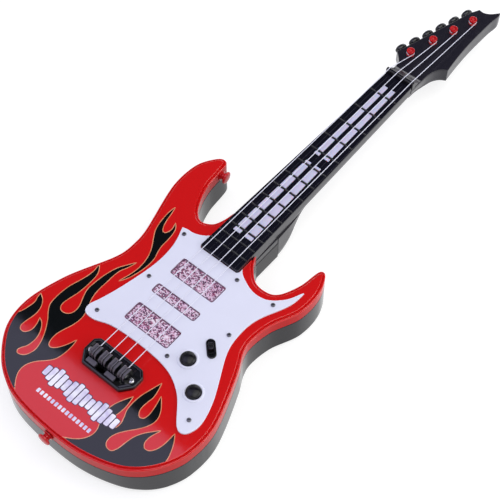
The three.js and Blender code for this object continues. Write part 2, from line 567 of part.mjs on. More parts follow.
// light blocks: one per cell, short ones at the ends and around the dark octave cell
const BLOCKS = [[FRETS[0] + 0.8, FRETS[0] + 9.4], [FRETS[4] - 4, FRETS[4] - 0.8], [FRETS[5] + 0.8, FRETS[5] + 3.4],
  [FRETS[11] - 4.6, FRETS[11] - 0.8]];
for (const k of [0, 1, 2, 3, 5, 6, 7, 8, 9, 10]) BLOCKS.push([FRETS[k + 1] + 0.8, FRETS[k] - 0.8]);
const blockX = (y) => THREE.MathUtils.mapLinear(y, 140, 320, 5.55, 3.6);
const blockHalf = (y) => THREE.MathUtils.mapLinear(y, 140, 320, 3.4, 1.9);
{
  const edge = straight([[-18.2, 110.8], [-17, BOARD_END], [17, BOARD_END], [18.2, 110.8],
    [boardHalf(NUT_Y), NUT_Y], [-boardHalf(NUT_Y), NUT_Y]]);
  let board = stack([[edge, BOARD_Z], [edge, BOARD_TOP - 0.4], [grow(edge, -0.4), BOARD_TOP]]);
  for (const y of FRETS) {
    const w = boardHalf(y) - 0.6;
    board = join(board, prismX(-w, w, [[y - 0.65, 40], [y, 40.8], [y + 0.65, 40]]));
  }
  let strip = box(-9, 9, 135, 323, 35.7, 37);
  for (const [y0, y1] of BLOCKS) {
    for (const s of [-1, 1]) {
      const side = (y, d) => [s * (blockX(y) - blockHalf(y) - d), s * (blockX(y) + blockHalf(y) + d)];
      const quad = (d) => straight([[side(y0, d)[0], y0 - d], [side(y0, d)[1], y0 - d],
        [side(y1, d)[1], y1 + d], [side(y1, d)[0], y1 + d]]);
      board = cut(board, prism(quad(0.15), 30, 42));
      strip = join(strip, prism(quad(-0.15), 36.5, BOARD_TOP + 0.1));
    }
  }
  add('fretboard', board, black);
  add('light_strip', strip, pale);
}
{
  let nut = prismX(-13.4, 13.4, [[332.7, 37.3], [332.7, 43.6], [333.4, 44.5], [335.3, 44.5], [336.5, 43.2],
    [336.5, 37.3]]);
  for (let k = 0; k < 4; k++) {
    const x = stringX(k, 'nut');
    nut = cut(nut, box(x - 0.75, x + 0.75, 330, 340, STRING_NUT_Z - 0.7, 46));
  }
  add('nut', nut, black);
}

// ---------------------------------------------------------------- string posts and strings
POSTS.forEach(([x, y], k) => {
  add(`string_post_${k + 1}`, turned([[0, 30.5], [1.6, 30.5], [1.6, 36.1], [3.3, 36.1], [2.6, 37.3],
    [2.6, 38.7], [3.3, 39.3], [3.2, 40.8], [2.3, 40.8], [0, 40.2]], [x, y, 0], [0, 0, 1], 10), red);

  // the string runs from its saddle over the nut, meets the post on its treble side and winds round it
  const P = (a, b, c) => new THREE.Vector3(a, b, c);
  const xb = stringX(k, 'bridge');
  const xn = stringX(k, 'nut');
  const wrapR = 2.6 + STRING_R + 0.12;
  const start = Math.atan2(y - NUT_TOP_Y, x - xn) - Math.PI / 2;
  const wraps = Array.from({ length: 9 }, (_, i) => {
    const t = start + (i / 8) * 1.55 * Math.PI;
    return P(x + wrapR * Math.cos(t), y + wrapR * Math.sin(t), 37.75 + 0.04 * i);
  });
  add(`string_${k + 1}`, cord([P(xb, SADDLE_Y - 0.9, STRING_BRIDGE_Z), P(xn, NUT_TOP_Y, STRING_NUT_Z - 0.1), ...wraps],
    STRING_R, 6), wire);
});
// round cord through a list of centres, square to the run at its ends
function cord(centres, radius, sides) {
  const rings = centres.map((c, i) => {
    const before = centres[Math.max(0, i - 1)];
    const after = centres[Math.min(centres.length - 1, i + 1)];
    const d1 = c.clone().sub(before);
    const d2 = after.clone().sub(c);
    const t = (d1.length() ? d1.normalize() : d2.clone().normalize()).add(d2.length() ? d2.normalize() : d1).normalize();
    const side = new THREE.Vector3(0, 0, 1).cross(t).normalize();
    const lift = t.clone().cross(side).normalize();
    return Array.from({ length: sides }, (_, k) => {
      const a = (2 * Math.PI * k) / sides;
      return c.clone().addScaledVector(side, radius * Math.cos(a)).addScaledVector(lift, radius * Math.sin(a));
    });
  });
  return skin(rings, disc(sides));
}

// ---------------------------------------------------------------- tuning pegs
for (let i = 0; i < 6; i++) {
  const at = pegAt(i);
  const profile = [[0, -5], [2.7, -5], [2.7, -3.2], [1.6, -3.2], [1.6, 1.2], [2.6, 1.6], [1.7, 4.6], [0, 4.6]];
  const shaft = turned(profile, at.toArray(), PEG_OUT.toArray(), 8);
  // oval button: long along the headstock edge
  const along = new THREE.Vector3(0.2845, 0.9587, 0);
  const up = new THREE.Vector3(0, 0, 1);
  const ring = (d, a, b) => Array.from({ length: 12 }, (_, k) => {
    const t = (2 * Math.PI * k) / 12;
    return at.clone().addScaledVector(PEG_OUT, d).addScaledVector(along, a * Math.cos(t)).addScaledVector(up, b * Math.sin(t));
  });
  const button = skin([ring(3.9, 4.6, 3.4), ring(6.2, 5.3, 4.1), ring(8.3, 3.9, 2.9)], disc(12));
  add(`tuning_peg_${i + 1}`, join(shaft, button), black);
}

// ---------------------------------------------------------------- battery cover and its captive screw
{
  let cover = box(-COVER.x + 0.3, COVER.x - 0.3, COVER.y0 + 0.3, COVER.y1 - 0.3, 0.2, 2.3);
  for (let i = 0; i < 5; i++) cover = cut(cover, box(-26 + i * 2.6, -24.8 + i * 2.6, -42, -20, -1, 0.6)); // thumb grip
  const { x, y } = COVER_SCREW;
  cover = cut(cover, rod(2.7, [x, y, -1], [x, y, 1.4], 12), rod(1.35, [x, y, 1], [x, y, 5], 10));
  add('battery_cover', cover, shellBlack);
  add('battery_screw', screw(x, y, 0.4, 2.4, 0.9, 1.05, 4.6, 1), darkChrome);
}

// ---------------------------------------------------------------- cells and contacts
const CELL_R = 7.1;
for (let i = 0; i < 3; i++) {
  const dir = i === 1 ? -1 : 1;
  const y = (CELLS.y0 + CELLS.y1) / 2 + (i - 1) * 15.3;
  add(`cell_${i + 1}`, turned([[0, -25], [6.4, -25], [CELL_R, -24.4], [CELL_R, 23.9], [2.7, 23.9],
    [2.7, 25], [0, 25]], [0, y, 10], [dir, 0, 0], 12), cellWrap);
}
for (const s of [-1, 1]) {
  let strip = box(Math.min(s * 26.2, s * 26.7), Math.max(s * 26.2, s * 26.7), CELLS.y0 + 0.8, CELLS.y1 - 0.8, 4, 16.6);
  for (let i = 0; i < 3; i++) {
    const y = (CELLS.y0 + CELLS.y1) / 2 + (i - 1) * 15.3;
    strip = join(strip, rod(3.2, [s * 26.3, y, 10], [s * 25.2, y, 10], 8, 2.2));
  }
  add(s < 0 ? 'contact_strip_bass' : 'contact_strip_treble', strip, chrome);
}

// ---------------------------------------------------------------- circuit board with its switches
{
  let board = prism(straight([[-18, 26], [18, 26], [32, 8], [68, 8], [68, 24], [52, 58], [16, 58], [16, 94],
    [-18, 94]]), 24, 25.6);
  for (const [, x, y] of BUTTONS) {
    board = join(board, box(x - 3, x + 3, y - 3, y + 3, 25.2, 28.6), rod(1.7, [x, y, 28], [x, y, 29.6], 12));
  }
  const can = new THREE.BoxGeometry(11, 5.6, 3.6);
  can.rotateZ(SWITCH.angle);
  can.translate(SWITCH.x, SWITCH.y, 27);
  board = join(board, solid(can), box(-13, -3, 48, 56, 25.2, 27.4), rod(3, [22, 45, 25.2], [22, 45, 30.5], 14));
  add('circuit_board', board, boardGreen);
}

// ---------------------------------------------------------------- loudspeaker behind the grille
add('loudspeaker', turned([[0, 3], [SPEAKER.r, 3], [SPEAKER.r, 4.6], [17.5, 5.4], [12, 9.4], [10, 9.8], [10, 14.6],
  [0, 14.6]], [SPEAKER.x, SPEAKER.y, 0], [0, 0, 1], 20), darkChrome);

export default guitar;
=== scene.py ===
"""Looks of the toy electric guitar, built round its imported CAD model. Shapes are drawn in millimetres and
become metres when their mesh is made; the camera, the floor and the lights are in metres."""

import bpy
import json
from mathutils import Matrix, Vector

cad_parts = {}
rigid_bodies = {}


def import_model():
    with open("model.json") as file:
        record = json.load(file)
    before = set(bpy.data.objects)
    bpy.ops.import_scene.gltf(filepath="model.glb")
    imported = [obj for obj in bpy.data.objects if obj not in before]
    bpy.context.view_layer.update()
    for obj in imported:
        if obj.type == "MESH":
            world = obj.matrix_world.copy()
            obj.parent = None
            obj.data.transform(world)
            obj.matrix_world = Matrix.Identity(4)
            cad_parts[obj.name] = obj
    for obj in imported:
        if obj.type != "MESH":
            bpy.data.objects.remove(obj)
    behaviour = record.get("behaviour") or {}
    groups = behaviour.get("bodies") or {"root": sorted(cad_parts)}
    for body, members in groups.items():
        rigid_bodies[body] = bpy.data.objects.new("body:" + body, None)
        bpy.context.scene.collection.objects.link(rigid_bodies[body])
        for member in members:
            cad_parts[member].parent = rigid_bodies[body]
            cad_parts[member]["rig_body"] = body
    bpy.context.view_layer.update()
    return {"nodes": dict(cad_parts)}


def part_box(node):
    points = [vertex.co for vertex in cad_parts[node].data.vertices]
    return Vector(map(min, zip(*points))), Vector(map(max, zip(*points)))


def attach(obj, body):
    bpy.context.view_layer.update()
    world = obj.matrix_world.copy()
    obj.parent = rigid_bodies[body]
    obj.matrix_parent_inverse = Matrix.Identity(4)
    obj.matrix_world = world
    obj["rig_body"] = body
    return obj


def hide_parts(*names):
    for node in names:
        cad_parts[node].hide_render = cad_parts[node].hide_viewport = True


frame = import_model()

import json
import math

import bmesh
import bpy
import numpy as np
from mathutils import Matrix, Vector
from mathutils.geometry import delaunay_2d_cdt

MM = 0.001
scene = bpy.context.scene

# ---------------------------------------------------------------- driving dimensions, as in the CAD model
BODY_T = 37.0  # back plane to front face
SEAM = 26.0  # height where the red and the dark shell meet
SEAM_GAP = 0.3
WALL = 2.6
POCKET_HALF = 18.25  # half the width of the neck pocket
POCKET_END = 113.2  # its end towards the bridge
TONGUE_TOP = 21.5  # the back shell's tongue, which carries the neck
TONGUE_END = 157.3
BOARD_END = 109.6  # the fretboard, from its end over the body to the nut
NUT_Y = 332.5
BOARD_Z = 37.2
BOARD_TOP = 40.2
NECK_SEAM = 27.5  # height where the front and the back half of the neck meet
HEAD_TOP = 36.0
HEAD_BOTTOM = 19.0
GUARD_Z = 37.05  # underside of the scratch plate
GUARD_TOP = 38.2
STRING_R = 0.3
STRING_BRIDGE_Z = 45.4
STRING_NUT = (334.5, 44.7)  # y and z where a string lies in the nut
SADDLE_Y = -6.2  # middle of the saddles
STRAP_Z = 29.5
BUTTON_R = 5.6
BUTTON_HOLE = BUTTON_R + 0.4
STRING_PITCH = {"bridge": 8.96, "nut": 7.47}
RIB_PITCH = 2.55
POST_R = 2.6  # waist of a string post, where the string wraps round
CELL_PITCH = 15.3
NECK_HOLE = 1.6
SMOOTH_BELOW = math.radians(32)  # faces that meet at less than this are shaded as one
BEVEL_ABOVE = math.radians(28)  # edges sharper than this are softened


def board_half(y):
    return 18.2 - (y - 110) * (5.3 / 218)


# ---------------------------------------------------------------- outlines
def unit(v):
    return v / np.maximum(np.linalg.norm(v, axis=-1, keepdims=True), 1e-12)


def smooth(points, closed=False, step=1.0):
    """Points about a step apart on a centripetal Catmull-Rom curve; the end point is left out."""
    p = np.array(points, float)
    n = len(p)
    out = []
    for i in range(n if closed else n - 1):
        p1, p2 = p[i % n], p[(i + 1) % n]
        p0 = p[(i - 1) % n] if closed or i > 0 else 2 * p1 - p2
        p3 = p[(i + 2) % n] if closed or i + 2 < n else 2 * p2 - p1
        d = [max(np.linalg.norm(b - a) ** 0.5, 1e-6) for a, b in ((p0, p1), (p1, p2), (p2, p3))]
        m1 = ((p1 - p0) / d[0] - (p2 - p0) / (d[0] + d[1]) + (p2 - p1) / d[1]) * d[1]
        m2 = ((p2 - p1) / d[1] - (p3 - p1) / (d[1] + d[2]) + (p3 - p2) / d[2]) * d[1]
        count = max(1, int(np.ceil(np.linalg.norm(p2 - p1) / step)))
        for t in np.arange(count) / count:
            out.append((2 * t**3 - 3 * t * t + 1) * p1 + (t**3 - 2 * t * t + t) * m1
                       + (-2 * t**3 + 3 * t * t) * p2 + (t**3 - t * t) * m2)
    return np.array(out)


def runs(*parts):
    """A closed outline of smooth runs that meet in corners: each run ends where the next one starts."""
    return np.concatenate([smooth([*part, after[0]]) for part, after in zip(parts, parts[1:] + parts[:1])])


def area(loop):
    x, y = np.array(loop, float).T
    return 0.5 * float(np.sum(x * np.roll(y, -1) - y * np.roll(x, -1)))


def turned_left(loop):
    loop = np.array(loop, float)
    return loop if area(loop) > 0 else loop[::-1]


def distance(points, loop):
    """Distance of each point to a closed outline."""
    a = np.asarray(loop, float)
    ab = np.roll(a, -1, 0) - a
    best = np.full(len(points), np.inf)
    for start in range(0, len(a), 400):
        s, v = a[start:start + 400], ab[start:start + 400]
        w = points[:, None] - s[None]
        t = np.clip((w * v).sum(-1) / np.maximum((v * v).sum(-1), 1e-12), 0, 1)
        best = np.minimum(best, np.linalg.norm(w - t[..., None] * v, axis=-1).min(1))
    return best


def inside(points, loop):
    x, y = points[:, :1], points[:, 1:]
    ax, ay = np.asarray(loop, float).T
    bx, by = np.roll(ax, -1), np.roll(ay, -1)
    straddles = (ay > y) != (by > y)
    with np.errstate(divide="ignore", invalid="ignore"):
        cross = ax + (y - ay) * (bx - ax) / (by - ay)
    return (straddles & (x < cross)).sum(1) % 2 == 1


def inset(loop, d):
    """A left-turning outline moved inwards by d, point for point; points gather where the sides meet."""
    p = np.asarray(loop, float)
    d = np.broadcast_to(np.asarray(d, float), len(p))
    ahead = unit(np.roll(p, -1, 0) - p)
    back = unit(p - np.roll(p, 1, 0))
    along = unit(ahead + back)
    mitre = 1 / np.maximum(0.6, np.sqrt((1 + (ahead * back).sum(1)) / 2))
    q = p + np.stack([-along[:, 1], along[:, 0]], 1) * (d * mitre)[:, None]
    if d.max() > 0.2:
        good = np.flatnonzero(distance(q, p) > d * 0.97 - 0.02)
        for i in np.setdiff1d(np.arange(len(p)), good):
            k = np.searchsorted(good, i)
            q[i] = (q[good[k - 1]] + q[good[k % len(good)]]) / 2
    return q


def rounded(corners, r, steps=4):
    """A polygon with its corners turned into short curves."""
    p = np.array(corners, float)
    out = []
    for i, c in enumerate(p):
        a, b = p[i - 1] - c, p[(i + 1) % len(p)] - c
        s = min(r, 0.45 * np.linalg.norm(a), 0.45 * np.linalg.norm(b))
        start, end = c + unit(a) * s, c + unit(b) * s
        for t in np.linspace(0, 1, steps + 1):
            out.append((1 - t) ** 2 * start + 2 * t * (1 - t) * c + t * t * end)
    return np.array(out)


def rect(x0, x1, y0, y1, r=0.0, steps=5):
    corners = [(x0, y0), (x1, y0), (x1, y1), (x0, y1)]
    return rounded(corners, r, steps) if r else np.array(corners, float)


def stadium(x, y, half, r, angle=0.0):
    """A slot with round ends, its centres half away from the middle."""
    t = np.linspace(-np.pi / 2, np.pi / 2, 14)
    right = np.stack([half + r * np.cos(t), r * np.sin(t)], 1)
    p = np.concatenate([right, -right])
    c, s = math.cos(angle), math.sin(angle)
    return p @ np.array([[c, s], [-s, c]]) + (x, y)


def arc(cx, cy, r, start, end, steps):
    t = np.radians(np.linspace(start, end, steps + 1))
    return [(cx + r * math.cos(a), cy + r * math.sin(a)) for a in t]


# ---------------------------------------------------------------- solids: (vertices in mm, faces)
def level(loop, z):
    loop = np.asarray(loop, float)
    return np.column_stack([loop, np.full(len(loop), float(z))])


def loft(rings, bottom=True, top=True):
    n = len(rings[0])
    faces = []
    for r in range(len(rings) - 1):
        for i in range(n):
            j = (i + 1) % n
            faces.append((r * n + i, r * n + j, (r + 1) * n + j, (r + 1) * n + i))
    if bottom:
        faces.append(tuple(range(n))[::-1])
    if top:
        faces.append(tuple(range((len(rings) - 1) * n, len(rings) * n)))
    return np.concatenate(rings), faces


def stack(loop, *steps):
    """Copies of an outline, one for each (inset, height)."""
    loop = turned_left(loop)
    return loft([level(inset(loop, d), z) for d, z in steps])


def prism(loop, z0, z1):
    return stack(loop, (0, z0), (0, z1))


def quarter(inwards, up, steps):
    """(inset, height) pairs of a rounded lower edge."""
    return [(inwards * (1 - math.sin(a)), up * (1 - math.cos(a)))
            for a in np.radians(np.linspace(0, 90, steps + 1))]


def pad(loop, z0, z1, edge, steps=3):
    """A slab with rounded edges all round."""
    low = [(d, z0 + z) for d, z in quarter(edge, edge, steps)]
    high = [(d, z0 + z1 - z) for d, z in reversed(low)]
    return stack(loop, *low, *high)


def block(x0, x1, y0, y1, z0, z1):
    return prism(rect(x0, x1, y0, y1), z0, z1)


def swung(form, matrix):
    verts, faces = form
    m = np.array(matrix, float)
    return verts @ m[:3, :3].T + m[:3, 3], faces


def along_x(form):
    """A shape drawn in (y, z) with its thickness in x."""
    verts, faces = form
    return verts[:, [2, 0, 1]], faces


def aimed(form, at, axis=(0, 0, 1)):
    turn = Vector((0, 0, 1)).rotation_difference(Vector(axis)).to_matrix().to_4x4()
    return swung(form, Matrix.Translation(at) @ turn)


def lathe(profile, sides=64):
    """(radius, height) pairs turned about +Z; the profile starts and ends on the axis."""
    t = np.arange(sides) * 2 * np.pi / sides
    rings = [np.column_stack([r * np.cos(t), r * np.sin(t), np.full(sides, float(z))]) for r, z in profile]
    return loft(rings, bottom=False, top=False)


def rod(r, start, end, sides=32):
    a, b = Vector(start), Vector(end)
    return aimed(lathe([(0, 0), (r, 0), (r, (b - a).length), (0, (b - a).length)], sides), a, b - a)


def rods(r, places, z0, z1, sides=32):
    """One upright rod at each (x, y)."""
    return [rod(r, (x, y, z0), (x, y, z1), sides) for x, y in places]


def tube(path, r):
    path = np.array(path, float)
    ahead = unit(np.diff(path, axis=0))
    t = unit(np.concatenate([ahead[:1], ahead[:-1] + ahead[1:], ahead[-1:]]))
    side = unit(np.cross((0, 0, 1), t))
    lift = np.cross(t, side)
    a = np.arange(12) * 2 * np.pi / 12
    rings = [c + r * (np.outer(np.cos(a), s) + np.outer(np.sin(a), u)) for c, s, u in zip(path, side, lift)]
    return loft(rings)


# ---------------------------------------------------------------- objects
def make(form, name="part"):
    """A closed mesh object in metres, its faces pointing out."""
    verts, faces = form
    mesh = bpy.data.meshes.new(name)
    mesh.from_pydata((np.asarray(verts) * MM).tolist(), [], faces)
    work = bmesh.new()
    work.from_mesh(mesh)
    bmesh.ops.remove_doubles(work, verts=work.verts, dist=2e-6)
    bmesh.ops.dissolve_degenerate(work, edges=work.edges, dist=1e-7)
    bmesh.ops.recalc_face_normals(work, faces=work.faces)
    work.to_mesh(mesh)
    work.free()
    obj = bpy.data.objects.new(name, mesh)
    scene.collection.objects.link(obj)
    return obj


def bake(obj):
    """The object's modifiers made part of its mesh."""
    bpy.context.view_layer.update()
    graph = bpy.context.evaluated_depsgraph_get()
    mesh = bpy.data.meshes.new_from_object(obj.evaluated_get(graph))
    old = obj.data
    obj.modifiers.clear()
    obj.data = mesh
    bpy.data.meshes.remove(old)
    return obj


def combine(base, operation, forms):
    """Joins (UNION) or cuts away (DIFFERENCE) the other shapes, each a form or an object."""
    group = bpy.data.collections.new("operands")
    scene.collection.children.link(group)
    for form in forms:
        tool = form if isinstance(form, bpy.types.Object) else make(form)
        scene.collection.objects.unlink(tool)
        group.objects.link(tool)
    step = base.modifiers.new("boolean", "BOOLEAN")
    step.operation = operation
    step.solver = "EXACT"
    step.operand_type = "COLLECTION"
    step.collection = group
    bake(base)
    for tool in list(group.objects):
        mesh = tool.data
        bpy.data.objects.remove(tool)
        bpy.data.meshes.remove(mesh)
    bpy.data.collections.remove(group)
    return base


def cut(base, *forms):
    return combine(base, "DIFFERENCE", forms)


def join(base, *forms):
    return combine(base, "UNION", forms)


def centres(obj):
    """Face centres and normals in millimetres."""
    mesh = obj.data
    middle = np.zeros(len(mesh.polygons) * 3)
    normal = np.zeros(len(mesh.polygons) * 3)
    mesh.polygons.foreach_get("center", middle)
    mesh.polygons.foreach_get("normal", normal)
    return middle.reshape(-1, 3) / MM, normal.reshape(-1, 3)


def show(obj, node, slot, *materials, choose=None, name=None):
    """Names the piece, gives it its materials and soft shading, and puts it in the CAD node's place."""
    obj.name = name or node + "_visual"
    obj.data.name = obj.name
    obj.data.materials.clear()
    for m in materials:
        obj.data.materials.append(m)
    index = np.zeros(len(obj.data.polygons), np.int32)
    if choose is not None:
        index = choose(*centres(obj)).astype(np.int32)
    obj.data.polygons.foreach_set("material_index", index)
    obj.data.polygons.foreach_set("use_smooth", np.ones(len(index), bool))
    obj.data.set_sharp_from_angle(angle=SMOOTH_BELOW)
    even = obj.modifiers.new("even shading", "WEIGHTED_NORMAL")
    even.keep_sharp = True
    even.weight = 60
    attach(obj, frame["nodes"][node]["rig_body"])
    if name is None:
        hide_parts(node)
    return obj


def dress(node, material, width):
    """A CAD node that stays: its own mesh, softened along its edges, with a better material."""
    obj = frame["nodes"][node]
    obj.data.materials.clear()
    obj.data.materials.append(material)
    flat = obj.modifiers.new("flats", "DECIMATE")
    flat.decimate_type = "DISSOLVE"
    flat.angle_limit = math.radians(0.5)
    edge = obj.modifiers.new("edges", "BEVEL")
    edge.width = width * MM
    edge.segments = 2
    edge.limit_method = "ANGLE"
    edge.angle_limit = BEVEL_ABOVE
    edge.harden_normals = True


# ---------------------------------------------------------------- materials
def shader(name):
    """A new material and a short way to add its nodes."""
    material = bpy.data.materials.new(name)
    material.use_nodes = True
    tree = material.node_tree
    tree.nodes.clear()

    def node(kind, inputs=None, out=0, **settings):
        made = tree.nodes.new("ShaderNode" + kind)
        for key, value in settings.items():
            setattr(made, key, value)
        for key, value in (inputs or {}).items():
            if isinstance(value, bpy.types.NodeSocket):
                tree.links.new(value, made.inputs[key])
            elif isinstance(value, (tuple, list)) and len(value) == 3 and made.inputs[key].type == "RGBA":
                made.inputs[key].default_value = (*value, 1)
            else:
                made.inputs[key].default_value = value
        return made.outputs[out] if len(made.outputs) else made

    return material, node


def ramp(node, factor, stops):
    """A colour ramp: (position, colour) stops."""
    out = node("ValToRGB", {"Fac": factor})
    element = out.node.color_ramp
    while len(element.elements) < len(stops):
        element.elements.new(0.5)
    for e, (position, colour) in zip(element.elements, stops):
        e.position = position
        e.color = (*colour, 1)
    return out


def noise(node, place, size, detail=3.0):
    """Noise with features about size mm across."""
    return node("TexNoise", {"Vector": place, "Scale": 1000 / size, "Detail": detail, "Roughness": 0.55})


def spread(node, low, high, value):
    """Noise, which stays near its middle, spread out between two values."""
    return node("MapRange", {"Value": value, "From Min": 0.3, "From Max": 0.7,
                             "To Min": low, "To Max": high})


def moulded(name, colour, rough=0.12, mottle=0.05, peel=0.02, peel_size=6.0, grain=0.0, grain_size=0.3,
            metallic=0.0, coat=0.0, specular=0.5, colour_from=None, height_from=None, height=0.0, **inputs):
    """Moulded plastic or metal: slightly uneven colour and gloss, a soft waviness and a fine grain."""
    material, node = shader(name)
    place = node("TexCoord", out="Object")
    cloud = noise(node, place, 18)
    if colour_from is not None:
        base = colour_from(node, place)
    else:
        base = node("RGB")
        base.default_value = (*colour, 1)
    darker = node("MixRGB", {"Fac": 1.0, "Color1": base, "Color2": (1 - mottle,) * 3}, blend_type="MULTIPLY")
    tint = node("MixRGB", {"Fac": spread(node, 0, 1, cloud), "Color1": darker, "Color2": base})
    smear = noise(node, place, 7, detail=5)
    gloss = spread(node, rough * 0.82, rough * 1.22, smear)
    wave = node("Bump", {"Strength": 1.0, "Distance": peel * MM, "Height": noise(node, place, peel_size, 1)})
    relief = wave
    if grain:
        relief = node("Bump", {"Strength": 1.0, "Distance": grain * MM, "Normal": relief,
                               "Height": noise(node, place, grain_size, 2)})
    if height_from is not None:
        relief = node("Bump", {"Strength": 1.0, "Distance": height * MM, "Normal": relief,
                               "Height": height_from(node, place)})
    surface = node("BsdfPrincipled", {"Base Color": tint, "Roughness": gloss, "Metallic": metallic,
                                      "Normal": relief, "Coat Weight": coat, "Coat Roughness": 0.04,
                                      "Specular IOR Level": specular, **inputs})
    node("OutputMaterial", {"Surface": surface})
    return material


def foil():
    """Sparkling film under the clear windows: pale ground with dark violet and red flakes."""
    material, node = shader("sparkle foil")
    place = node("TexCoord", out="Object")
    cells = node("TexVoronoi", {"Vector": place, "Scale": 1000 / 0.95, "Randomness": 1.0}, out="Color")
    pick = node("SeparateColor", {"Color": cells})
    dark = (0.10, 0.02, 0.08)
    flakes = ramp(node, pick, [
        (0.0, dark), (0.27, dark), (0.29, (0.26, 0.05, 0.13)), (0.41, (0.42, 0.10, 0.20)),
        (0.45, (0.62, 0.30, 0.42)), (0.54, (0.78, 0.58, 0.68)), (0.60, (0.90, 0.78, 0.87)),
        (1.0, (0.97, 0.92, 0.98))])
    patches = noise(node, place, 6, 2)
    ground = node("MixRGB", {"Fac": spread(node, 0, 0.12, patches), "Color1": flakes,
                             "Color2": (0.88, 0.80, 0.90)})
    shape = node("NewGeometry", out="Normal")
    lean = node("VectorMath", {0: cells, 1: (0.5, 0.5, 0.5)}, operation="SUBTRACT")
    lean = node("VectorMath", {0: lean, "Scale": 0.28}, operation="SCALE")
    facet = node("VectorMath", {0: node("VectorMath", {0: shape, 1: lean}, operation="ADD")},
                 operation="NORMALIZE")
    surface = node("BsdfPrincipled", {"Base Color": ground, "Metallic": 0.2, "Roughness": 0.3,
                                      "Normal": facet})
    node("OutputMaterial", {"Surface": surface})
    return material


MIRRORED = 0.045  # share of the light a clear surface reflects, the same at every angle


def clear(name, tint):
    """Thin clear plastic: what lies under it shows through, with a gloss on top."""
    material, node = shader(name)
    place = node("TexCoord", out="Object")
    wave = node("Bump", {"Strength": 1.0, "Distance": 0.012 * MM, "Height": noise(node, place, 5, 1)})
    cloud = ramp(node, noise(node, place, 9), [(0.3, tint), (0.7, (1, 1, 1))])
    through = node("BsdfTransparent", {"Color": cloud})
    gloss = node("BsdfGlossy", {"Color": (1, 1, 1), "Roughness": 0.05, "Normal": wave})
    surface = node("MixShader", {"Fac": MIRRORED, 1: through, 2: gloss})
    node("OutputMaterial", {"Surface": surface})
    return material


def wave_scale(pitch):
    """Scale that gives a wave texture this pitch in mm."""
    return 2 * math.pi / (20 * pitch * MM)


def rings_about_axis(pitch):
    """Fine turned rings about the piece's own Z axis."""
    def height(node, place):
        flat = node("VectorMath", {0: place, 1: (1, 1, 0)}, operation="MULTIPLY")
        return node("TexWave", {"Vector": flat, "Scale": wave_scale(pitch), "Distortion": 0.0},
                    wave_type="RINGS", rings_direction="SPHERICAL")
    return height


def windings(node, place):
    return node("TexWave", {"Vector": place, "Scale": wave_scale(0.9), "Distortion": 0.3},
                wave_type="BANDS", bands_direction="Y")


def cell_bands(node, place):
    """A plain two-tone battery wrap."""
    x = node("SeparateXYZ", {"Vector": place})
    return ramp(node, node("MapRange", {"Value": x, "From Min": -0.025, "From Max": 0.025}),
                [(0.0, (0.55, 0.36, 0.10)), (0.27, (0.60, 0.40, 0.12)), (0.275, (0.75, 0.75, 0.78)),
                 (0.29, (0.035, 0.09, 0.26)), (1.0, (0.045, 0.12, 0.34))])


def circuit_tracks(node, place):
    """Solder mask with copper tracks showing through."""
    return node("TexBrick", {"Vector": place, "Scale": 1000 / 14, "Mortar Size": 0.02,
                             "Color1": (0.02, 0.15, 0.05), "Color2": (0.025, 0.17, 0.06),
                             "Mortar": (0.05, 0.28, 0.10)}, out="Color")


# The shell's side walls below the bead: the same red plastic given a darker base colour, painted shade, and
# a lower specular.
red_wall_shaded = moulded("red side plastic, painted shade", (0.46, 0.005, 0.0055), 0.12, mottle=0.01, peel=0.006, specular=0.06)
red_gloss = moulded("red gloss plastic", (0.58, 0.006, 0.0065), 0.05, mottle=0.01, peel=0.006)
print_black = moulded("black print", (0.0012, 0.0022, 0.0024), 0.05, mottle=0.02, peel=0.006)
print_edge = moulded("warm print edge", None, 0.06, peel=0.006, colour_from=lambda node, place: ramp(
    node, noise(node, place, 5, 2), [(0.3, (0.62, 0.20, 0.08)), (0.7, (0.78, 0.36, 0.20))]))
print_bar = moulded("pale print", None, 0.05, peel=0.006, colour_from=lambda node, place: ramp(
    node, noise(node, place, 9, 2), [(0.35, (0.60, 0.55, 0.78)), (0.6, (0.86, 0.85, 0.93))]))
print_shadow = moulded("violet print edge", (0.030, 0.012, 0.055), 0.05, peel=0.006)
back_plastic = moulded("charcoal gloss plastic", (0.007, 0.007, 0.010), 0.12, mottle=0.03, peel=0.008,
                       specular=0.17)
plate_white = moulded("white plate plastic", (0.73, 0.745, 0.865), 0.08, mottle=0.02, peel=0.008)
screw_steel = moulded("dark screw steel", (0.16, 0.16, 0.18), 0.3, mottle=0.2, peel=0.02, peel_size=1.0,
                      grain=0.003, grain_size=0.12, metallic=1.0)
chrome = moulded("chrome", (0.50, 0.50, 0.53), 0.25, mottle=0.08, peel=0.02, peel_size=1.5, metallic=1.0)
black_gloss = moulded("black gloss plastic", (0.004, 0.004, 0.006), 0.1, mottle=0.05, peel=0.01)
button_black = moulded("black button plastic", (0.003, 0.003, 0.005), 0.17, mottle=0.05, peel=0.01,
                       height_from=rings_about_axis(0.9), height=0.05, specular=0.3)
slider_black = moulded("black slider plastic", (0.016, 0.016, 0.024), 0.3, mottle=0.06, peel=0.01)
# A lighter grey painted on the raised ribs of the black saddle moulding, a painted highlight; the bridge
# bars' tops take it too.
rib_highlight_grey = moulded("rib grey, painted highlight", (0.085, 0.075, 0.10), 0.34, mottle=0.12, grain=0.003,
                   grain_size=0.25)
neck_satin = moulded("satin neck plastic", (0.010, 0.009, 0.016), 0.20, mottle=0.06, peel=0.01)
board_gloss = moulded("black board plastic", (0.0035, 0.0035, 0.0085), 0.09, mottle=0.04, peel=0.01)
fret_black = moulded("black fret plastic", (0.004, 0.004, 0.005), 0.22, mottle=0.05)
block_milky = moulded("milky lavender plastic", (0.60, 0.58, 0.75), 0.16, mottle=0.05, peel=0.01,
                      **{"Subsurface Weight": 0.25, "Subsurface Scale": 0.002})
wire = moulded("string wire", (0.72, 0.73, 0.84), 0.4, mottle=0.04, metallic=0.1, height_from=windings,
               height=0.006)
red_turned = moulded("red turned plastic", (0.50, 0.010, 0.014), 0.12, mottle=0.02, peel=0.01,
                     height_from=rings_about_axis(0.5), height=0.008, specular=0.35)
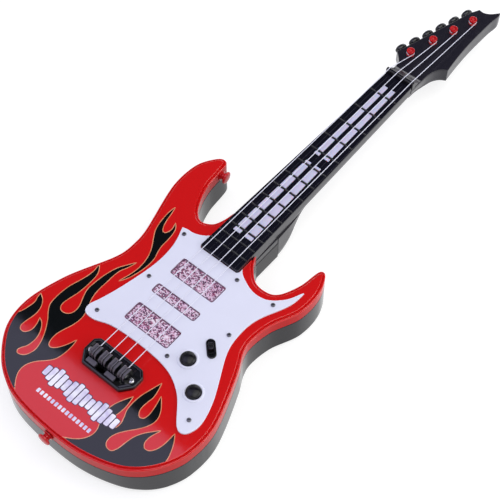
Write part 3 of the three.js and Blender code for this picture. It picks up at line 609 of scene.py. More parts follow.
peg_plastic = moulded("black peg plastic", (0.005, 0.005, 0.007), 0.2, mottle=0.08, grain=0.0015,
                      grain_size=0.4)
cell_wrap = moulded("cell wrap", None, 0.22, coat=0.4, colour_from=cell_bands)
cell_steel = moulded("cell end steel", (0.62, 0.62, 0.64), 0.26, metallic=1.0, grain=0.002, grain_size=0.2)
spring_steel = moulded("contact steel", (0.70, 0.69, 0.66), 0.2, metallic=1.0, grain=0.002, grain_size=0.3)
board_green = moulded("circuit board", None, 0.4, colour_from=circuit_tracks)
speaker_metal = moulded("speaker basket", (0.10, 0.10, 0.11), 0.38, metallic=0.8, grain=0.004,
                        grain_size=0.3)
speaker_paper = moulded("speaker paper", (0.022, 0.021, 0.020), 0.7, mottle=0.2, grain=0.02, grain_size=0.35,
                        height_from=rings_about_axis(1.6), height=0.05)
lamp_clear = moulded("lamp plastic", (0.86, 0.62, 0.70), 0.1, mottle=0.05, **{"Transmission Weight": 0.5})
foil_film = foil()
# Dark strip painted round each foil's edge: painted shade standing in for the shadow of the window's rim.
foil_rim_shade = moulded("foil rim painted shade", (0.16, 0.09, 0.15), 0.3, mottle=0.1)
lens_clear = clear("clear window plastic", (0.95, 0.88, 0.93))

# ---------------------------------------------------------------- body outline and places
BODY = turned_left(smooth([
    (-19.2, 150.5), (-21.2, 141), (-25.2, 132.2), (-33.5, 128.4), (-40.3, 132.3), (-47, 143.6),
    (-51, 156.7), (-54.6, 182.3), (-58, 183.6), (-61.4, 182.2), (-69.5, 170.9), (-72.3, 161),
    (-72.3, 141), (-59.9, 92.5), (-59.1, 81.5), (-60.4, 68), (-78.7, 25.5), (-85.7, -7.3),
    (-81.5, -29.5), (-66, -50.1), (-51.8, -60.3), (-34.3, -66.8), (21.5, -69.1), (54, -60.9),
    (66.3, -53.4), (75.6, -43.6), (82.8, -31.2), (86.2, -19.8), (86.6, 3), (70.7, 48.5), (64, 62),
    (61.9, 71), (64.3, 90.5), (74.2, 115), (74.4, 136), (68.3, 150.5), (65.7, 152.3), (63.1, 151),
    (59.3, 131.5), (52, 116), (46, 112.3), (34, 112.7), (23, 122.3), (14, 139), (5, 148.5),
    (-5, 153.5), (-13, 154.6), (-17.4, 153.2),
], closed=True, step=0.9))
widest = [corner[0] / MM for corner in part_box("front_shell")]
BODY[:, 0] = np.clip(BODY[:, 0], widest[0], widest[1])
HOLLOW = inset(BODY, WALL)[::2]
DEEP_HOLLOW = inset(BODY, 2.1 * WALL)[::2]
STRAP_BUTTONS = {"strap_button_tail": (Vector((0, -69.9, STRAP_Z)), Vector((0, -1, 0))),
                 "strap_button_horn": (Vector((-53.15, 174, STRAP_Z)), Vector((0.9903, 0.139, 0)))}
BUTTONS = {"button_upper": (37.9, 32.5), "button_lower": (58.1, 15.3)}
SWITCH = (44.9, 49.3)
SWITCH_ANGLE = math.radians(-44.6)
GUARD_SCREWS = [(-34.6, 110.1), (-29.8, 65.9), (-39.1, 20.5), (24.8, 24.9),
                (69.6, -2.5), (47.3, 65.9), (21.9, 104.7), (55.6, 105.2)]
BODY_SCREWS = [(-62, 2), (66, -6), (-61, 150)]
NECK_SCREWS = [(0, 124), (0, 147)]
LENSES = {"pickup_lens_neck": (78.3, 94.3, 1.9), "pickup_lens_middle": (57.9, 66.2, 2.2),
          "pickup_lens_bridge": (28.9, 45.4, 1.9)}
LENS_HALF = 20.5
BRIDGE_SCREWS = {"bridge_screw_bass": (-19.3, -6.4), "bridge_screw_treble": (19.6, -6.4)}
GUARD_HOLE = 1.15
BRIDGE_HOLE = 1.3
BOARD_POSTS = [(-14, 76), (40, 14)]  # bosses that hold the circuit board
LAMPS = {"lamp_bridge": 37, "lamp_middle": 62, "lamp_neck": 86}
SPEAKER = (-34, 20)
CELL_BAY = (26.9, -54, -7.4, 17.6)  # half length, two ends of the row, top
COVER = (34, -57.5, -3.9)
COVER_SCREW = (30.4, -31)


def neck_pocket():
    return block(-POCKET_HALF, POCKET_HALF, POCKET_END, 170, TONGUE_TOP, 60)


def neck_block():
    """The solid left round the neck pocket when a shell is hollowed."""
    return block(-22.5, 22.5, POCKET_END - WALL, 170, 0, 60)


def lens_rect(y0, y1, grow, r):
    return rect(-LENS_HALF - grow, LENS_HALF + grow, y0 - grow, y1 + grow, r)


def switch_hole(z0):
    return prism(stadium(*SWITCH, 3.3, 2.4, SWITCH_ANGLE), z0, 40)


# ---------------------------------------------------------------- printed ornament on the front
FLAME_WAIST = runs(
    [(-56.5, 124), (-57, 118), (-56.6, 112), (-55.5, 105), (-53.5, 99), (-50.5, 94), (-47.5, 89.5),
     (-44.5, 84.5), (-42.3, 79), (-41, 73), (-40.7, 66), (-41.5, 60), (-43.5, 52)],
    [(-44.3, 49.5), (-41, 56), (-39.2, 62), (-38, 68), (-37.5, 74), (-38, 80.5), (-39.8, 86), (-41, 91),
     (-41.3, 98), (-42, 105), (-43.5, 110)],
    [(-46.5, 113.5), (-45, 109), (-45.3, 105), (-46.8, 102.2), (-49, 102), (-51.5, 105), (-53.6, 111),
     (-55, 118)])
FLAME_BOUT = runs(
    [(-90, -20), (-84.5, -18), (-82, -16.5), (-80.3, -13), (-79.3, -8), (-78.8, -3), (-80, 1)],
    [(-80.5, 4.5), (-76, 1.5), (-73, -3), (-71.8, -8), (-72, -13), (-73, -19), (-73, -23.5), (-71, -26),
     (-67.5, -26), (-64.8, -23), (-64, -19), (-65, -14)],
    [(-66.5, -10.5), (-63, -12.5), (-59.5, -17), (-57.5, -22), (-57, -27), (-57.8, -32), (-60, -36),
     (-60.8, -39), (-59, -41), (-55.5, -40.3), (-52.5, -37.5), (-50.7, -32), (-51.3, -26), (-54, -19),
     (-58, -12), (-62, -6.5), (-66, -2), (-69, 3), (-69.8, 9), (-69.8, 15), (-68.8, 23), (-66.8, 30),
     (-65, 37), (-64.3, 44)],
    [(-65.2, 50), (-62, 46), (-60.5, 42), (-60, 36), (-60, 30), (-60.5, 23), (-61.7, 17), (-62.8, 11),
     (-62.5, 7), (-60.5, 4.3), (-57.5, 3.6), (-54.5, 4.5), (-52, 7), (-51, 11), (-51.8, 16), (-54, 21),
     (-56, 26), (-57, 30), (-56.8, 36), (-56, 44), (-54.5, 51), (-52.5, 57), (-49, 63)],
    [(-45.5, 68.5), (-47.5, 62), (-50, 56), (-50.8, 50), (-50.8, 43), (-51, 36), (-50.5, 30), (-49, 24),
     (-46.5, 18.5), (-44.5, 13), (-43.8, 7), (-45, 0), (-47, -6), (-48.5, -12), (-48.3, -18),
     (-46.5, -22), (-44, -22.8), (-41, -21), (-38, -17), (-35.5, -12)],
    [(-33.7, -7), (-33, -12), (-33.2, -20), (-35, -27), (-38.5, -31.5), (-43, -36), (-46.5, -41),
     (-48, -46), (-47.5, -51), (-45, -56), (-41.5, -60.5), (-38, -64.5)],
    [(-34, -72)], [(-60, -80), (-100, -50)])
FLAME_TAIL = runs(
    [(84, -45), (77.5, -37), (77, -33), (75, -27), (72, -21)],
    [(68.8, -16.5), (68.8, -22), (68.3, -28), (66.5, -33.5), (63.5, -37), (60, -37.5), (57.2, -34.5),
     (56.8, -30), (58, -25)],
    [(59.5, -21), (56, -25), (52, -30), (49, -36), (47.5, -43), (46.5, -49), (44, -53.3), (40, -53.5),
     (37, -51), (36.3, -46), (38, -41), (42, -35), (46.5, -29.5), (50, -24), (51.8, -19), (51.7, -14.5),
     (49.5, -9.5), (46, -5)],
    [(42.8, -1.5), (44, -6), (45.3, -12), (45.7, -17.5), (44.5, -21.5), (41.5, -22.5), (38.5, -19.5),
     (37.6, -15), (38, -10), (38.6, -5), (37.8, 0)],
    [(36, 6.3), (33.3, -3), (31.6, -10), (31, -18), (31.7, -24), (33.8, -29), (35.3, -34), (34.5, -39),
     (31, -41.5), (28, -39), (27.5, -34), (28.5, -28), (28.8, -22)],
    [(27.7, -14), (24.5, -20), (22, -26), (21, -32), (22, -38), (24, -43), (26, -48), (26, -53),
     (23, -59), (18, -63.5), (12, -67)],
    [(4, -73)], [(50, -85), (95, -60)])
FLAMES = [turned_left(f) for f in (FLAME_WAIST, FLAME_BOUT, FLAME_TAIL)]
FLAME_EDGE = 0.6

BAR_HEIGHTS = [8, 11, 15, 12, 9, 13, 16, 14, 10.5, 8.5, 12, 15.5, 12.5, 10, 8]
BARS = [rect(-34.4 + 4.6 * i, -30.6 + 4.6 * i, -37 - h / 2, -37 + h / 2, 1.2, 4)
        for i, h in enumerate(BAR_HEIGHTS)]
DASHES = [rect(-27.5 + 3.45 * i, -25.2 + 3.45 * i, -53.7, -50.4, 0.5, 3) for i in range(15)]
BAR_EDGE = 0.55


def print_colour(points):
    """0 red, 1 black, 2 warm edge, 3 pale, 4 violet edge, for points on the face."""
    colour = np.zeros(len(points), int)
    for flame in FLAMES:
        colour[(colour == 0) & (distance(points, flame) < FLAME_EDGE)] = 2
    for flame in FLAMES:
        colour[inside(points, flame)] = 1
    for bar in BARS:
        low, high = bar.min(0) - 2, bar.max(0) + 2
        close = np.flatnonzero(((points > low) & (points < high)).all(1))
        if len(close):
            colour[close[distance(points[close], bar) < BAR_EDGE]] = 4
            colour[close[inside(points[close], bar)]] = 3
    for dash in DASHES:
        colour[inside(points, dash)] = 3
    return colour


def face_cap(edge):
    """The flat face inside its edge loop, divided along the printed outlines; the loop's points are kept."""
    points = [tuple(p) for p in edge]
    n = len(points)
    lines = [(i, (i + 1) % n) for i in range(n)]

    def add(loop):
        """The stretches of a loop that lie on the face, their ends brought to the nearest edge points."""
        keep = inside(loop, edge) & (distance(loop, edge) > 0.5)
        count = len(loop)
        if keep.all():
            first = len(points)
            points.extend(map(tuple, loop))
            lines.extend((first + i, first + (i + 1) % count) for i in range(count))
            return
        for i in range(count):
            if keep[i] and not keep[i - 1]:
                chain = [int(np.linalg.norm(edge - loop[i], axis=1).argmin())]
                j = i
                while keep[j % count]:
                    chain.append(len(points))
                    points.append(tuple(loop[j % count]))
                    j += 1
                chain.append(int(np.linalg.norm(edge - loop[(j - 1) % count], axis=1).argmin()))
                lines.extend(zip(chain, chain[1:]))

    for flame in FLAMES:
        add(flame)
        add(inset(flame, -FLAME_EDGE))
    for bar in BARS:
        add(bar)
        add(inset(bar, -BAR_EDGE))
    for dash in DASHES:
        add(dash)
    verts, _, faces, origin, _, _ = delaunay_2d_cdt([Vector(p) for p in points], lines, [], 0, 1e-4)
    verts = np.array([tuple(v) for v in verts])
    middle = np.array([verts[list(f)].mean(0) for f in faces])
    faces = [f for f, ok in zip(faces, inside(middle, edge)) if ok]
    place = {k: i for i, ks in enumerate(origin) for k in ks if k < n}
    return verts, faces, [place[k] for k in range(n)]


# ---------------------------------------------------------------- front shell
RIM = [(0.25, SEAM + 0.15), (0, SEAM + 0.4), (0, 35.0), *arc(0.95, 35.1, 0.95, 180, 80, 7)[1:],
       (1.35, 35.85), (1.6, 35.55), (1.85, 35.5), (2.1, 35.75), (2.25, 36.3), (2.4, 36.75), (2.65, 36.95),
       (3.0, BODY_T)]


def front_shell():
    rings = [level(inset(BODY, d), z) for d, z in RIM]
    cap_edge = inset(BODY, 3.3)
    keep = np.ones(len(cap_edge), bool)
    keep[1:] = np.linalg.norm(np.diff(cap_edge, axis=0), axis=1) > 1e-4
    cap_verts, cap_faces, place = face_cap(cap_edge[keep])
    verts, faces = loft(rings, top=False)
    n, first = len(BODY), len(verts)
    slot_of = np.cumsum(keep) - 1
    last = (len(rings) - 1) * n
    for i in range(n):
        j = (i + 1) % n
        a, b = first + place[slot_of[i]], first + place[slot_of[j]]
        faces.append((last + i, last + j, b, a) if a != b else (last + i, last + j, a))
    faces += [tuple(first + k for k in f) for f in cap_faces]
    shell = make((np.concatenate([verts, level(cap_verts, BODY_T)]), faces))
    room = cut(make(prism(HOLLOW, 20, BODY_T - WALL)), neck_block(),
               *rods(3.8, BODY_SCREWS, 10, 40), *rods(2.4, BOARD_POSTS, 25.9, 40))
    cut(shell, room, neck_pocket(),
        *[rod(2.3, at - axis * 8, at + axis * 4, 24) for at, axis in STRAP_BUTTONS.values()],
        *rods(1.6, BODY_SCREWS, 20, BODY_T - WALL, 16),
        *[prism(lens_rect(y0, y1, -2, 1), 30, 40) for y0, y1, _ in LENSES.values()],
        *rods(BUTTON_HOLE, BUTTONS.values(), 30, 40, 48), switch_hole(30),
        *rods(GUARD_HOLE, GUARD_SCREWS, 30, 40, 16), *rods(BRIDGE_HOLE, BRIDGE_SCREWS.values(), 30, 40, 16))

    def choose(middle, normal):
        colour = np.zeros(len(middle), int)
        top = middle[:, 2] > BODY_T - 0.001
        colour[top] = print_colour(middle[top, :2])
        # Side faces below the bead take the darker red: painted shade.
        colour[middle[:, 2] < 35.1] = 5
        return colour

    show(shell, "front_shell", "red_shell", red_gloss, print_black, print_edge, print_bar, print_shadow,
         red_wall_shaded, choose=choose)


# ---------------------------------------------------------------- back shell
def back_shell():
    ahead = unit(np.roll(BODY, -1, 0) - np.roll(BODY, 1, 0))
    facing_tail = ahead[:, 0]  # 1 where the outline runs along the tail
    tail = np.clip((facing_tail - 0.5) / 0.48, 0, 1) * (BODY[:, 1] < -40)
    radius = 2.4 + 5.6 * tail**2 * (3 - 2 * tail)
    rings = [np.column_stack([inset(BODY, d), z]) for d, z in quarter(radius, radius, 9)]
    rings += [level(BODY, SEAM - 0.45), level(inset(BODY, 0.25), SEAM - SEAM_GAP / 2)]
    shell = make(loft(rings))
    tongue = make(stack([(-18, 95), (18, 95), (18, 168), (-18, 168)], *quarter(4.5, 4.5, 9),
                        (0, TONGUE_TOP - 0.25), (0.25, TONGUE_TOP)))
    cut(tongue, block(-30, 30, TONGUE_END, 180, -1, 40))
    join(shell, tongue)
    half, y0, y1, top = CELL_BAY
    cover_x, cover_y0, cover_y1 = COVER
    stays = [neck_block(),
             block(-half - 1.8, half + 1.8, y0 - 1.8, y1 + 1.8, 0, top + 1.8),
             block(half, cover_x + 1.5, -38, -24, 0, 9),
             block(-cover_x - 1.5, cover_x + 1.5, cover_y0 - 1.5, cover_y1 + 1.5, 0, 4.2),
             *rods(4.8, BODY_SCREWS, 0, 40)]
    room = cut(join(make(prism(DEEP_HOLLOW, WALL, 8)), prism(HOLLOW, 6.8, 30)), *stays)
    sleeve = cut(make(block(-15.5, 15.5, 104, TONGUE_END - WALL, WALL, TONGUE_TOP - 2.3)),
                 *rods(4.8, NECK_SCREWS, 0, 40))
    tools = [room, sleeve, neck_pocket(),
             block(-half, half, y0, y1, -1, top),
             prism(rect(-cover_x, cover_x, cover_y0, cover_y1, 1.2), -1, 2.6),
             *rods(2.1, [COVER_SCREW], -1, 7.5)]
    for x, y in BODY_SCREWS + NECK_SCREWS:
        floor = 14 if (x, y) in BODY_SCREWS else 12
        well = [(0, 0), (4.0, 0), (3.5, 1.5), (3.5, floor + 1), (0, floor + 1)]
        tools += [aimed(lathe(well, 40), (x, y, -1)), rod(1.7, (x, y, 10), (x, y, 40), 20)]
    for i in range(-3, 4):
        off = i * 4.6
        tools.append(prism(stadium(SPEAKER[0], SPEAKER[1] + off, math.sqrt(16.5**2 - off**2) - 1.1, 1.1),
                           -1, WALL + 1))
    cut(shell, *tools)
    show(shell, "back_shell", "dark_shell", back_plastic)


# ---------------------------------------------------------------- scratch plate
def scratch_plate():
    outline = runs(
        [(-18.7, 122), (-21.7, 119.4), (-26.1, 116.9), (-30.6, 115.5), (-35.5, 115.2)],
        [(-39.8, 114.2), (-34.8, 98.9), (-33.6, 80), (-39.2, 47), (-44.4, 28.3), (-46.9, 21.5),
         (-47, 17.5), (-44.8, 14.2), (-37, 13.4), (-21, 18.2), (30, 17.2), (48.9, 7.8), (66.7, -11.8),
         (70.6, -13.4), (74.6, -11.7), (78, -2.2), (73.9, 16.7), (55.6, 54.4), (53.1, 65), (53, 81),
         (55.5, 91), (64, 110), (66.1, 117.5)],
        [(66.8, 127.2)], [(66, 127.4), (60, 115.4), (50, 106.4), (42, 104.4), (34, 105.4), (22, 111.2)],
        [(18.7, 114.6)], [(18.6, 110.8)], [(17.2, 109.2)], [(-17.2, 109.2)], [(-18.6, 110.8)])
    plate = make(stack(outline, (0, GUARD_Z), (0, 37.8), (0.06, 38.02), (0.2, 38.15), (0.38, GUARD_TOP),
                       (0.6, GUARD_TOP)))
    collar = [(0, -0.4), (7.9, -0.4), (7.9, 0.0), (7.8, 0.35), (7.5, 0.66), (7.1, 0.82), (6.7, 0.85),
              (6.3, 0.8), (6.0, 0.6), (0, 0.6)]
    join(plate, *[aimed(lathe(collar), (x, y, GUARD_TOP)) for x, y in BUTTONS.values()])
    cut(plate, *[prism(lens_rect(y0, y1, 0.25, r + 0.25), 36, 40) for y0, y1, r in LENSES.values()],
        *rods(BUTTON_HOLE, BUTTONS.values(), 36, 41, 64), switch_hole(36),
        *rods(GUARD_HOLE, GUARD_SCREWS, 36, 40, 20))
    show(plate, "scratch_plate", "white_plate", plate_white)


# ---------------------------------------------------------------- screws
def screw(head_r, head_t, shank_r, length):
    """A domed screw, head top at the origin and shank down -Z, with a tapered cross recess."""
    tip = -head_t - length
    dome = [(head_r * r, -head_t * z) for r, z in ((1, 0.5), (0.93, 0.3), (0.78, 0.12), (0.5, 0.03))]
    profile = [(0, tip), (shank_r * 0.3, tip), (shank_r, -head_t - length * 0.8), (shank_r, -head_t),
               (head_r - 0.1, -head_t), (head_r, -head_t + 0.1), *dome, (0, 0)]
    w, l = head_r * 0.12, head_r * 0.66
    plus = np.array([(w, w), (w, l), (-w, l), (-w, w), (-l, w), (-l, -w), (-w, -w), (-w, -l), (w, -l),
                     (w, -w), (l, -w), (l, w)])
    recess = loft([level(plus * 0.45, -head_t * 0.85), level(plus, 0.02), level(plus, 1)])
    return cut(make(lathe(profile, 40)), recess)


def numbered(name, places, z):
    """Node names, counted from 1, with the top of each head."""
    return {f"{name}_{i + 1}": (x, y, z) for i, (x, y) in enumerate(places)}


def place_screws(size, tops, up=True, slot="dark_steel", material=screw_steel):
    """Copies of one screw, each baked in its place; `tops` maps a node to the top of its head."""
    pattern = screw(*size)
    for node, at in tops.items():
        copy = bpy.data.objects.new(node, pattern.data.copy())
        scene.collection.objects.link(copy)
        turn = Matrix.Identity(4) if up else Matrix.Rotation(math.pi, 4, "X")
        spin = Matrix.Rotation(0.7 * (sum(map(ord, node)) % 9), 4, "Z")
        copy.data.transform(Matrix.Translation(Vector(at) * MM) @ turn @ spin)
        show(copy, node, slot, material)
    bpy.data.objects.remove(pattern)


def screws():
    place_screws((1.7, 0.75, 0.8, 4.4), numbered("guard_screw", GUARD_SCREWS, GUARD_TOP + 0.75))
    place_screws((3, 2.2, 1.3, 19), numbered("body_screw", BODY_SCREWS, 11.6), up=False)
    place_screws((3, 2.2, 1.3, 20), numbered("neck_screw", NECK_SCREWS, 9.6), up=False)
    place_screws((2, 1.1, 1, 6), {node: (*at, 40.9) for node, at in BRIDGE_SCREWS.items()},
                 slot="chrome", material=chrome)
    place_screws((2.4, 0.9, 1.05, 4.6), {"battery_screw": (*COVER_SCREW, 0.4)}, up=False)


# ---------------------------------------------------------------- pickup windows and lamps
def pickups():
    for node, (y0, y1, r) in LENSES.items():
        edge = lens_rect(y0, y1, 0, r)
        loop = inset(turned_left(edge), 0.1)
        film = make(stack(loop, (0, GUARD_Z), (0, 37.7), (0.7, 37.7)))
        # Faces within 0.6 mm of the foil's edge take the dark rim colour: painted shade of the window's rim.
        show(film, node, "lens", foil_film, foil_rim_shade, name=node + "_foil",
             choose=lambda middle, normal, loop=loop: distance(middle[:, :2], loop) < 0.6)
        cover = make(stack(edge, (0.05, 37.72), (0, 37.8), (0, 38.6), (0.08, 38.85), (0.25, 39.02),
                           (0.5, 39.1), (0.8, 39.1)))
        show(cover, node, "lens", lens_clear)
    for node, y in LAMPS.items():
        dome = arc(0, 31.4, 2.5, 0, 90, 8)
        show(make(aimed(lathe([(0, 25.7), (2.9, 25.7), (2.9, 26.7), (2.5, 26.7), *dome[:-1], (0, 33.4)], 40),
                        (0, y, 0))), node, "lens", lamp_clear)


# ---------------------------------------------------------------- bridge
BRIDGE = turned_left([(-23.9, -9), (-17.6, -17.8), (17.8, -17.8), (24.6, -9.2), (24.6, 0.5), (20, 5.2),
                      (-20, 5.2), (-23.9, 1.5)])
STRINGS = range(4)


def string_x(k, at):
    return (k - 1.5) * STRING_PITCH[at]


def bridge():
    base = make(stack(rounded(BRIDGE, 1.2), (0, 37.05), (0, 39.3), (0.12, 39.8), (0.4, 40.15), (0.8, 40.3),
                      (1.9, 40.3), (2.15, 40.2), (2.35, 39.9), (2.45, 39.15), (2.6, 39.0)))
    bars = [pad(rect(x - 4.3, x + 4.3, -15.2, -11.4, 0.5), 38.5, 41.2, 0.35) for x in (-12, 5.7)]
    bosses = [aimed(lathe([(0, 38), (2.5, 38), (2.5, 39.5), (2.3, 39.7), (0, 39.7)], 40), (*at, 0))
              for at in BRIDGE_SCREWS.values()]
    join(base, *bosses, *bars)
    cut(base, *rods(BRIDGE_HOLE, BRIDGE_SCREWS.values(), 36, 41))

    # Bar tops take the same grey as the saddle ribs' painted highlight.
    def choose(middle, normal):
        x, y, z = middle.T
        return (z > 39.2) & (y > -15.3) & (y < -11.1) & (np.minimum(abs(x + 12), abs(x - 5.7)) < 4.5)

    show(base, "bridge_base", "black_trim", black_gloss, rib_highlight_grey, choose=choose)


def saddles():
    """One moulding: a foot with four towers of three ribs, each tower bored for its string."""
    y = SADDLE_Y
    foot = make(pad(rect(-16.8, 16.8, y - 4.3, y + 4.3, 0.5), 39.05, 41, 0.2, 2))
    rib = rounded([(y - 4.7, 40), (y + 4.7, 40), (y + 4.7, 45.6), (y + 3.5, 47), (y - 2.7, 47),
                   (y - 4.7, 44.8)], 1.0)
    tower = rounded([(y - 4.1, 40), (y + 4.4, 40), (y + 4.4, 45), (y + 3.3, 46.2), (y - 2.3, 46.2),
                     (y - 4.1, 44.2)], 1.0)
    parts, bores = [], []
    for k in STRINGS:
        middle = string_x(k, "bridge")
        parts.append(along_x(pad(tower, middle - 3.2, middle + 3.2, 0.2, 2)))
        parts += [along_x(pad(rib, middle + r * RIB_PITCH - 0.8, middle + r * RIB_PITCH + 0.8, 0.35))
                  for r in (-1, 0, 1)]
        bores.append(rod(0.75, (middle, y - 1.8, STRING_BRIDGE_Z), (middle, y + 6.7, STRING_BRIDGE_Z), 24))
    join(foot, *parts)
    cut(foot, *bores)

    # Rib faces above 41.05 mm take the lighter grey, a painted highlight; the rest keeps the moulding's
    # black.
    def choose(middle, normal):
        pitch = STRING_PITCH["bridge"]
        across = (middle[:, 0] / pitch + 0.5) % 1 * pitch - pitch / 2
        on_rib = np.abs((across + RIB_PITCH / 2) % RIB_PITCH - RIB_PITCH / 2) < 0.82
        return ~(on_rib & (middle[:, 2] > 41.05))

    show(foot, "bridge_saddles", "ribbed_grey", rib_highlight_grey, black_gloss, choose=choose)


# ---------------------------------------------------------------- buttons and switch
def centred(form, node, at, slot, material):
    """A turned piece whose axis is its object's own Z axis, so that the rings in its material sit true."""
    obj = make(form)
    obj.location = Vector((*at, 0)) * MM
    show(obj, node, slot, material)


def buttons():
    profile = [(0, 32), (7.2, 32), (7.2, 33.2), (BUTTON_R, 33.2), (BUTTON_R, 39.9), (5.55, 40.3),
               (5.38, 40.7), (5.05, 41.05), (4.5, 41.36), (3.7, 41.66), (2.7, 41.93), (1.4, 42.13),
               (0, 42.2)]
    for node, at in BUTTONS.items():
        centred(lathe(profile), node, at, "black_trim", button_black)


def switch():
    bezel = make(stack(stadium(*SWITCH, 4.55, 3.5, SWITCH_ANGLE), (0, GUARD_TOP + 0.02), (0, 38.6),
                       (0.1, 38.85), (0.3, 39.0), (0.55, 39.05), (0.75, 39.05)))
    cut(bezel, switch_hole(37))
    show(bezel, "switch_bezel", "black_trim", black_gloss)
    turn = Matrix.Translation((*SWITCH, 0)) @ Matrix.Rotation(SWITCH_ANGLE, 4, "Z")
    knob = make(swung(pad(stadium(-2.15, 0, 0.9, 2.05), 32, 39.4, 0.2), turn))
    grips = [swung(pad(rect(d - 0.3, d + 0.3, -1.8, 1.8, 0.2), 39, 40.6, 0.2), turn)
             for d in (-3.3, -2.15, -1)]
    join(knob, *grips, swung(block(-5.85, 1.55, -3.2, 3.2, 31, 33.6), turn))
    show(knob, "switch_slider", "ribbed_grey", slider_black)


# ---------------------------------------------------------------- strap buttons
def strap_buttons():
    profile = [(0, -7), (1.9, -7), (1.9, 0.3), (4.1, 0.3), (4.2, 0.4), (4.2, 0.9), (4.0, 1.1), (3.1, 1.4),
               (2.75, 1.8), (2.7, 2.6), (2.85, 3.1), (3.4, 3.5), (4.7, 3.95), (5.02, 4.2), (5.1, 4.6),
               (5.0, 5.2), (4.6, 5.62), (3.8, 5.85), (2.2, 6.08), (0, 6.2)]
    for node, (at, axis) in STRAP_BUTTONS.items():
        show(make(aimed(lathe(profile, 48), at, axis)), node, "red_trim", red_turned)


# ---------------------------------------------------------------- neck and headstock
HEAD = turned_left(np.concatenate([
    [(-12.8, 333), (-12.9, 340)],
    smooth([(-13.1, 345), (-13.6, 351), (-17, 355.6), (-21.8, 360.2)]),
    smooth([(-21.8, 360.2), (-19.7, 366)]), [(-19.7, 366), (0.2, 434)],
    smooth([(4.2, 441.9), (8.8, 441.4), (13.8, 443.7), (19.9, 450.2)]),
    smooth([(19.9, 450.2), (20.9, 446.5), (20, 436), (19.6, 420), (19.7, 404), (20.7, 387.4), (21.9, 376.5),
            (22.8, 369.6)], step=2),
    smooth([(22.8, 369.6), (18.6, 366.6), (15.4, 361.6), (13.6, 354.5), (13, 345)]),
    [(13, 345), (12.9, 340), (12.8, 333)]]))
NECK_TAPER = 1.6  # how far the underside of the headstock draws in to meet the neck


def near_neck(at, amount=NECK_TAPER):
    at = np.array(at, float)
    t = np.clip((at[:, 1] - 338) / 18, 0, 1)
    at[:, 0] -= np.sign(at[:, 0]) * amount * (1 - t * t * (3 - 2 * t)) * (np.abs(at[:, 0]) > 9)
    return at


PEG_OUT = Vector((-0.9587, 0.2845, 0))
PEGS = {f"tuning_peg_{i + 1}": Vector((-18.55 + 3.96 * i, 369.1 + 13.34 * i, NECK_SEAM)) for i in range(6)}
POSTS = {"string_post_1": (-11.2, 364.2), "string_post_2": (-4.6, 386.6), "string_post_3": (2, 406.6),
         "string_post_4": (8.4, 425.4)}


def head_hollow(z0, z1):
    outline = [(-9.5, 346), (10, 346), (12, 358), (16.5, 370), (16, 436), (4, 432), (-17, 362), (-12, 356)]
    return prism(rounded(outline, 2), z0, z1)


def peg_bores():
    return [rod(2, at - PEG_OUT * 5, at + PEG_OUT * 4, 24) for at in PEGS.values()]


def clear_of_heel(y):
    """0 at the heel, 1 where the neck has its own section."""
    t = min(1.0, max(0.0, (y - 172) / 28))
    return t * t * (3 - 2 * t)


def neck_front():
    def ring(y):
        w, c = board_half(y) - 0.3, clear_of_heel(y)
        right = [(w - 0.3, 37), (w - 0.09, 36.91), (w, 36.7), (w, 32.5), (w - 0.12 * c, 31),
                 (w - 0.5 * c, 29.4), (w - 1.2 * c, 27.95), (w - 1.5 * c, NECK_SEAM + 0.05)]
        return np.array([(x, y, z) for x, z in right] + [(-x, y, z) for x, z in reversed(right)])

    neck = make(loft([ring(y) for y in (113.5, 150, 172, 176, 180, 185, 190, 195, 200, 230, 260, 336)]))
    scoop = smooth([(347, 35.9), (344.5, 36.5), (342.1, 37.9), (339.9, 40.0), (338.1, 41.3)], step=0.5)
    ramp_side = np.concatenate([
        [(328, 34), (347, 34)], scoop,
        [(338.1, 41.3), (337.7, 41.45), (337.0, 41.45), (336.8, 41.3), (336.8, 37), (328, 37)]])
    walls = [level(near_neck(HEAD), NECK_SEAM + 0.05), level(near_neck(HEAD, NECK_TAPER / 2), 29.8),
             level(HEAD, 32.5), level(HEAD, 35.3)]
    edges = [level(inset(HEAD, d), z)
             for d, z in ((0.08, 35.65), (0.3, 35.9), (0.6, HEAD_TOP), (0.9, HEAD_TOP))]
    join(neck, make(loft(walls + edges)), along_x(prism(ramp_side, -12.4, 12.4)))
    cut(neck, block(-9.4, 9.4, 134.6, 323.4, 35.6, 40), block(-10.4, 10.4, 152, 321, 20, 33.4),
        head_hollow(20, 33.4), *peg_bores(),
        *rods(NECK_HOLE, NECK_SCREWS, 20, 33, 20), *rods(2, POSTS.values(), 30, 40, 24))
    show(neck, "neck_front", "neck_black", neck_satin)


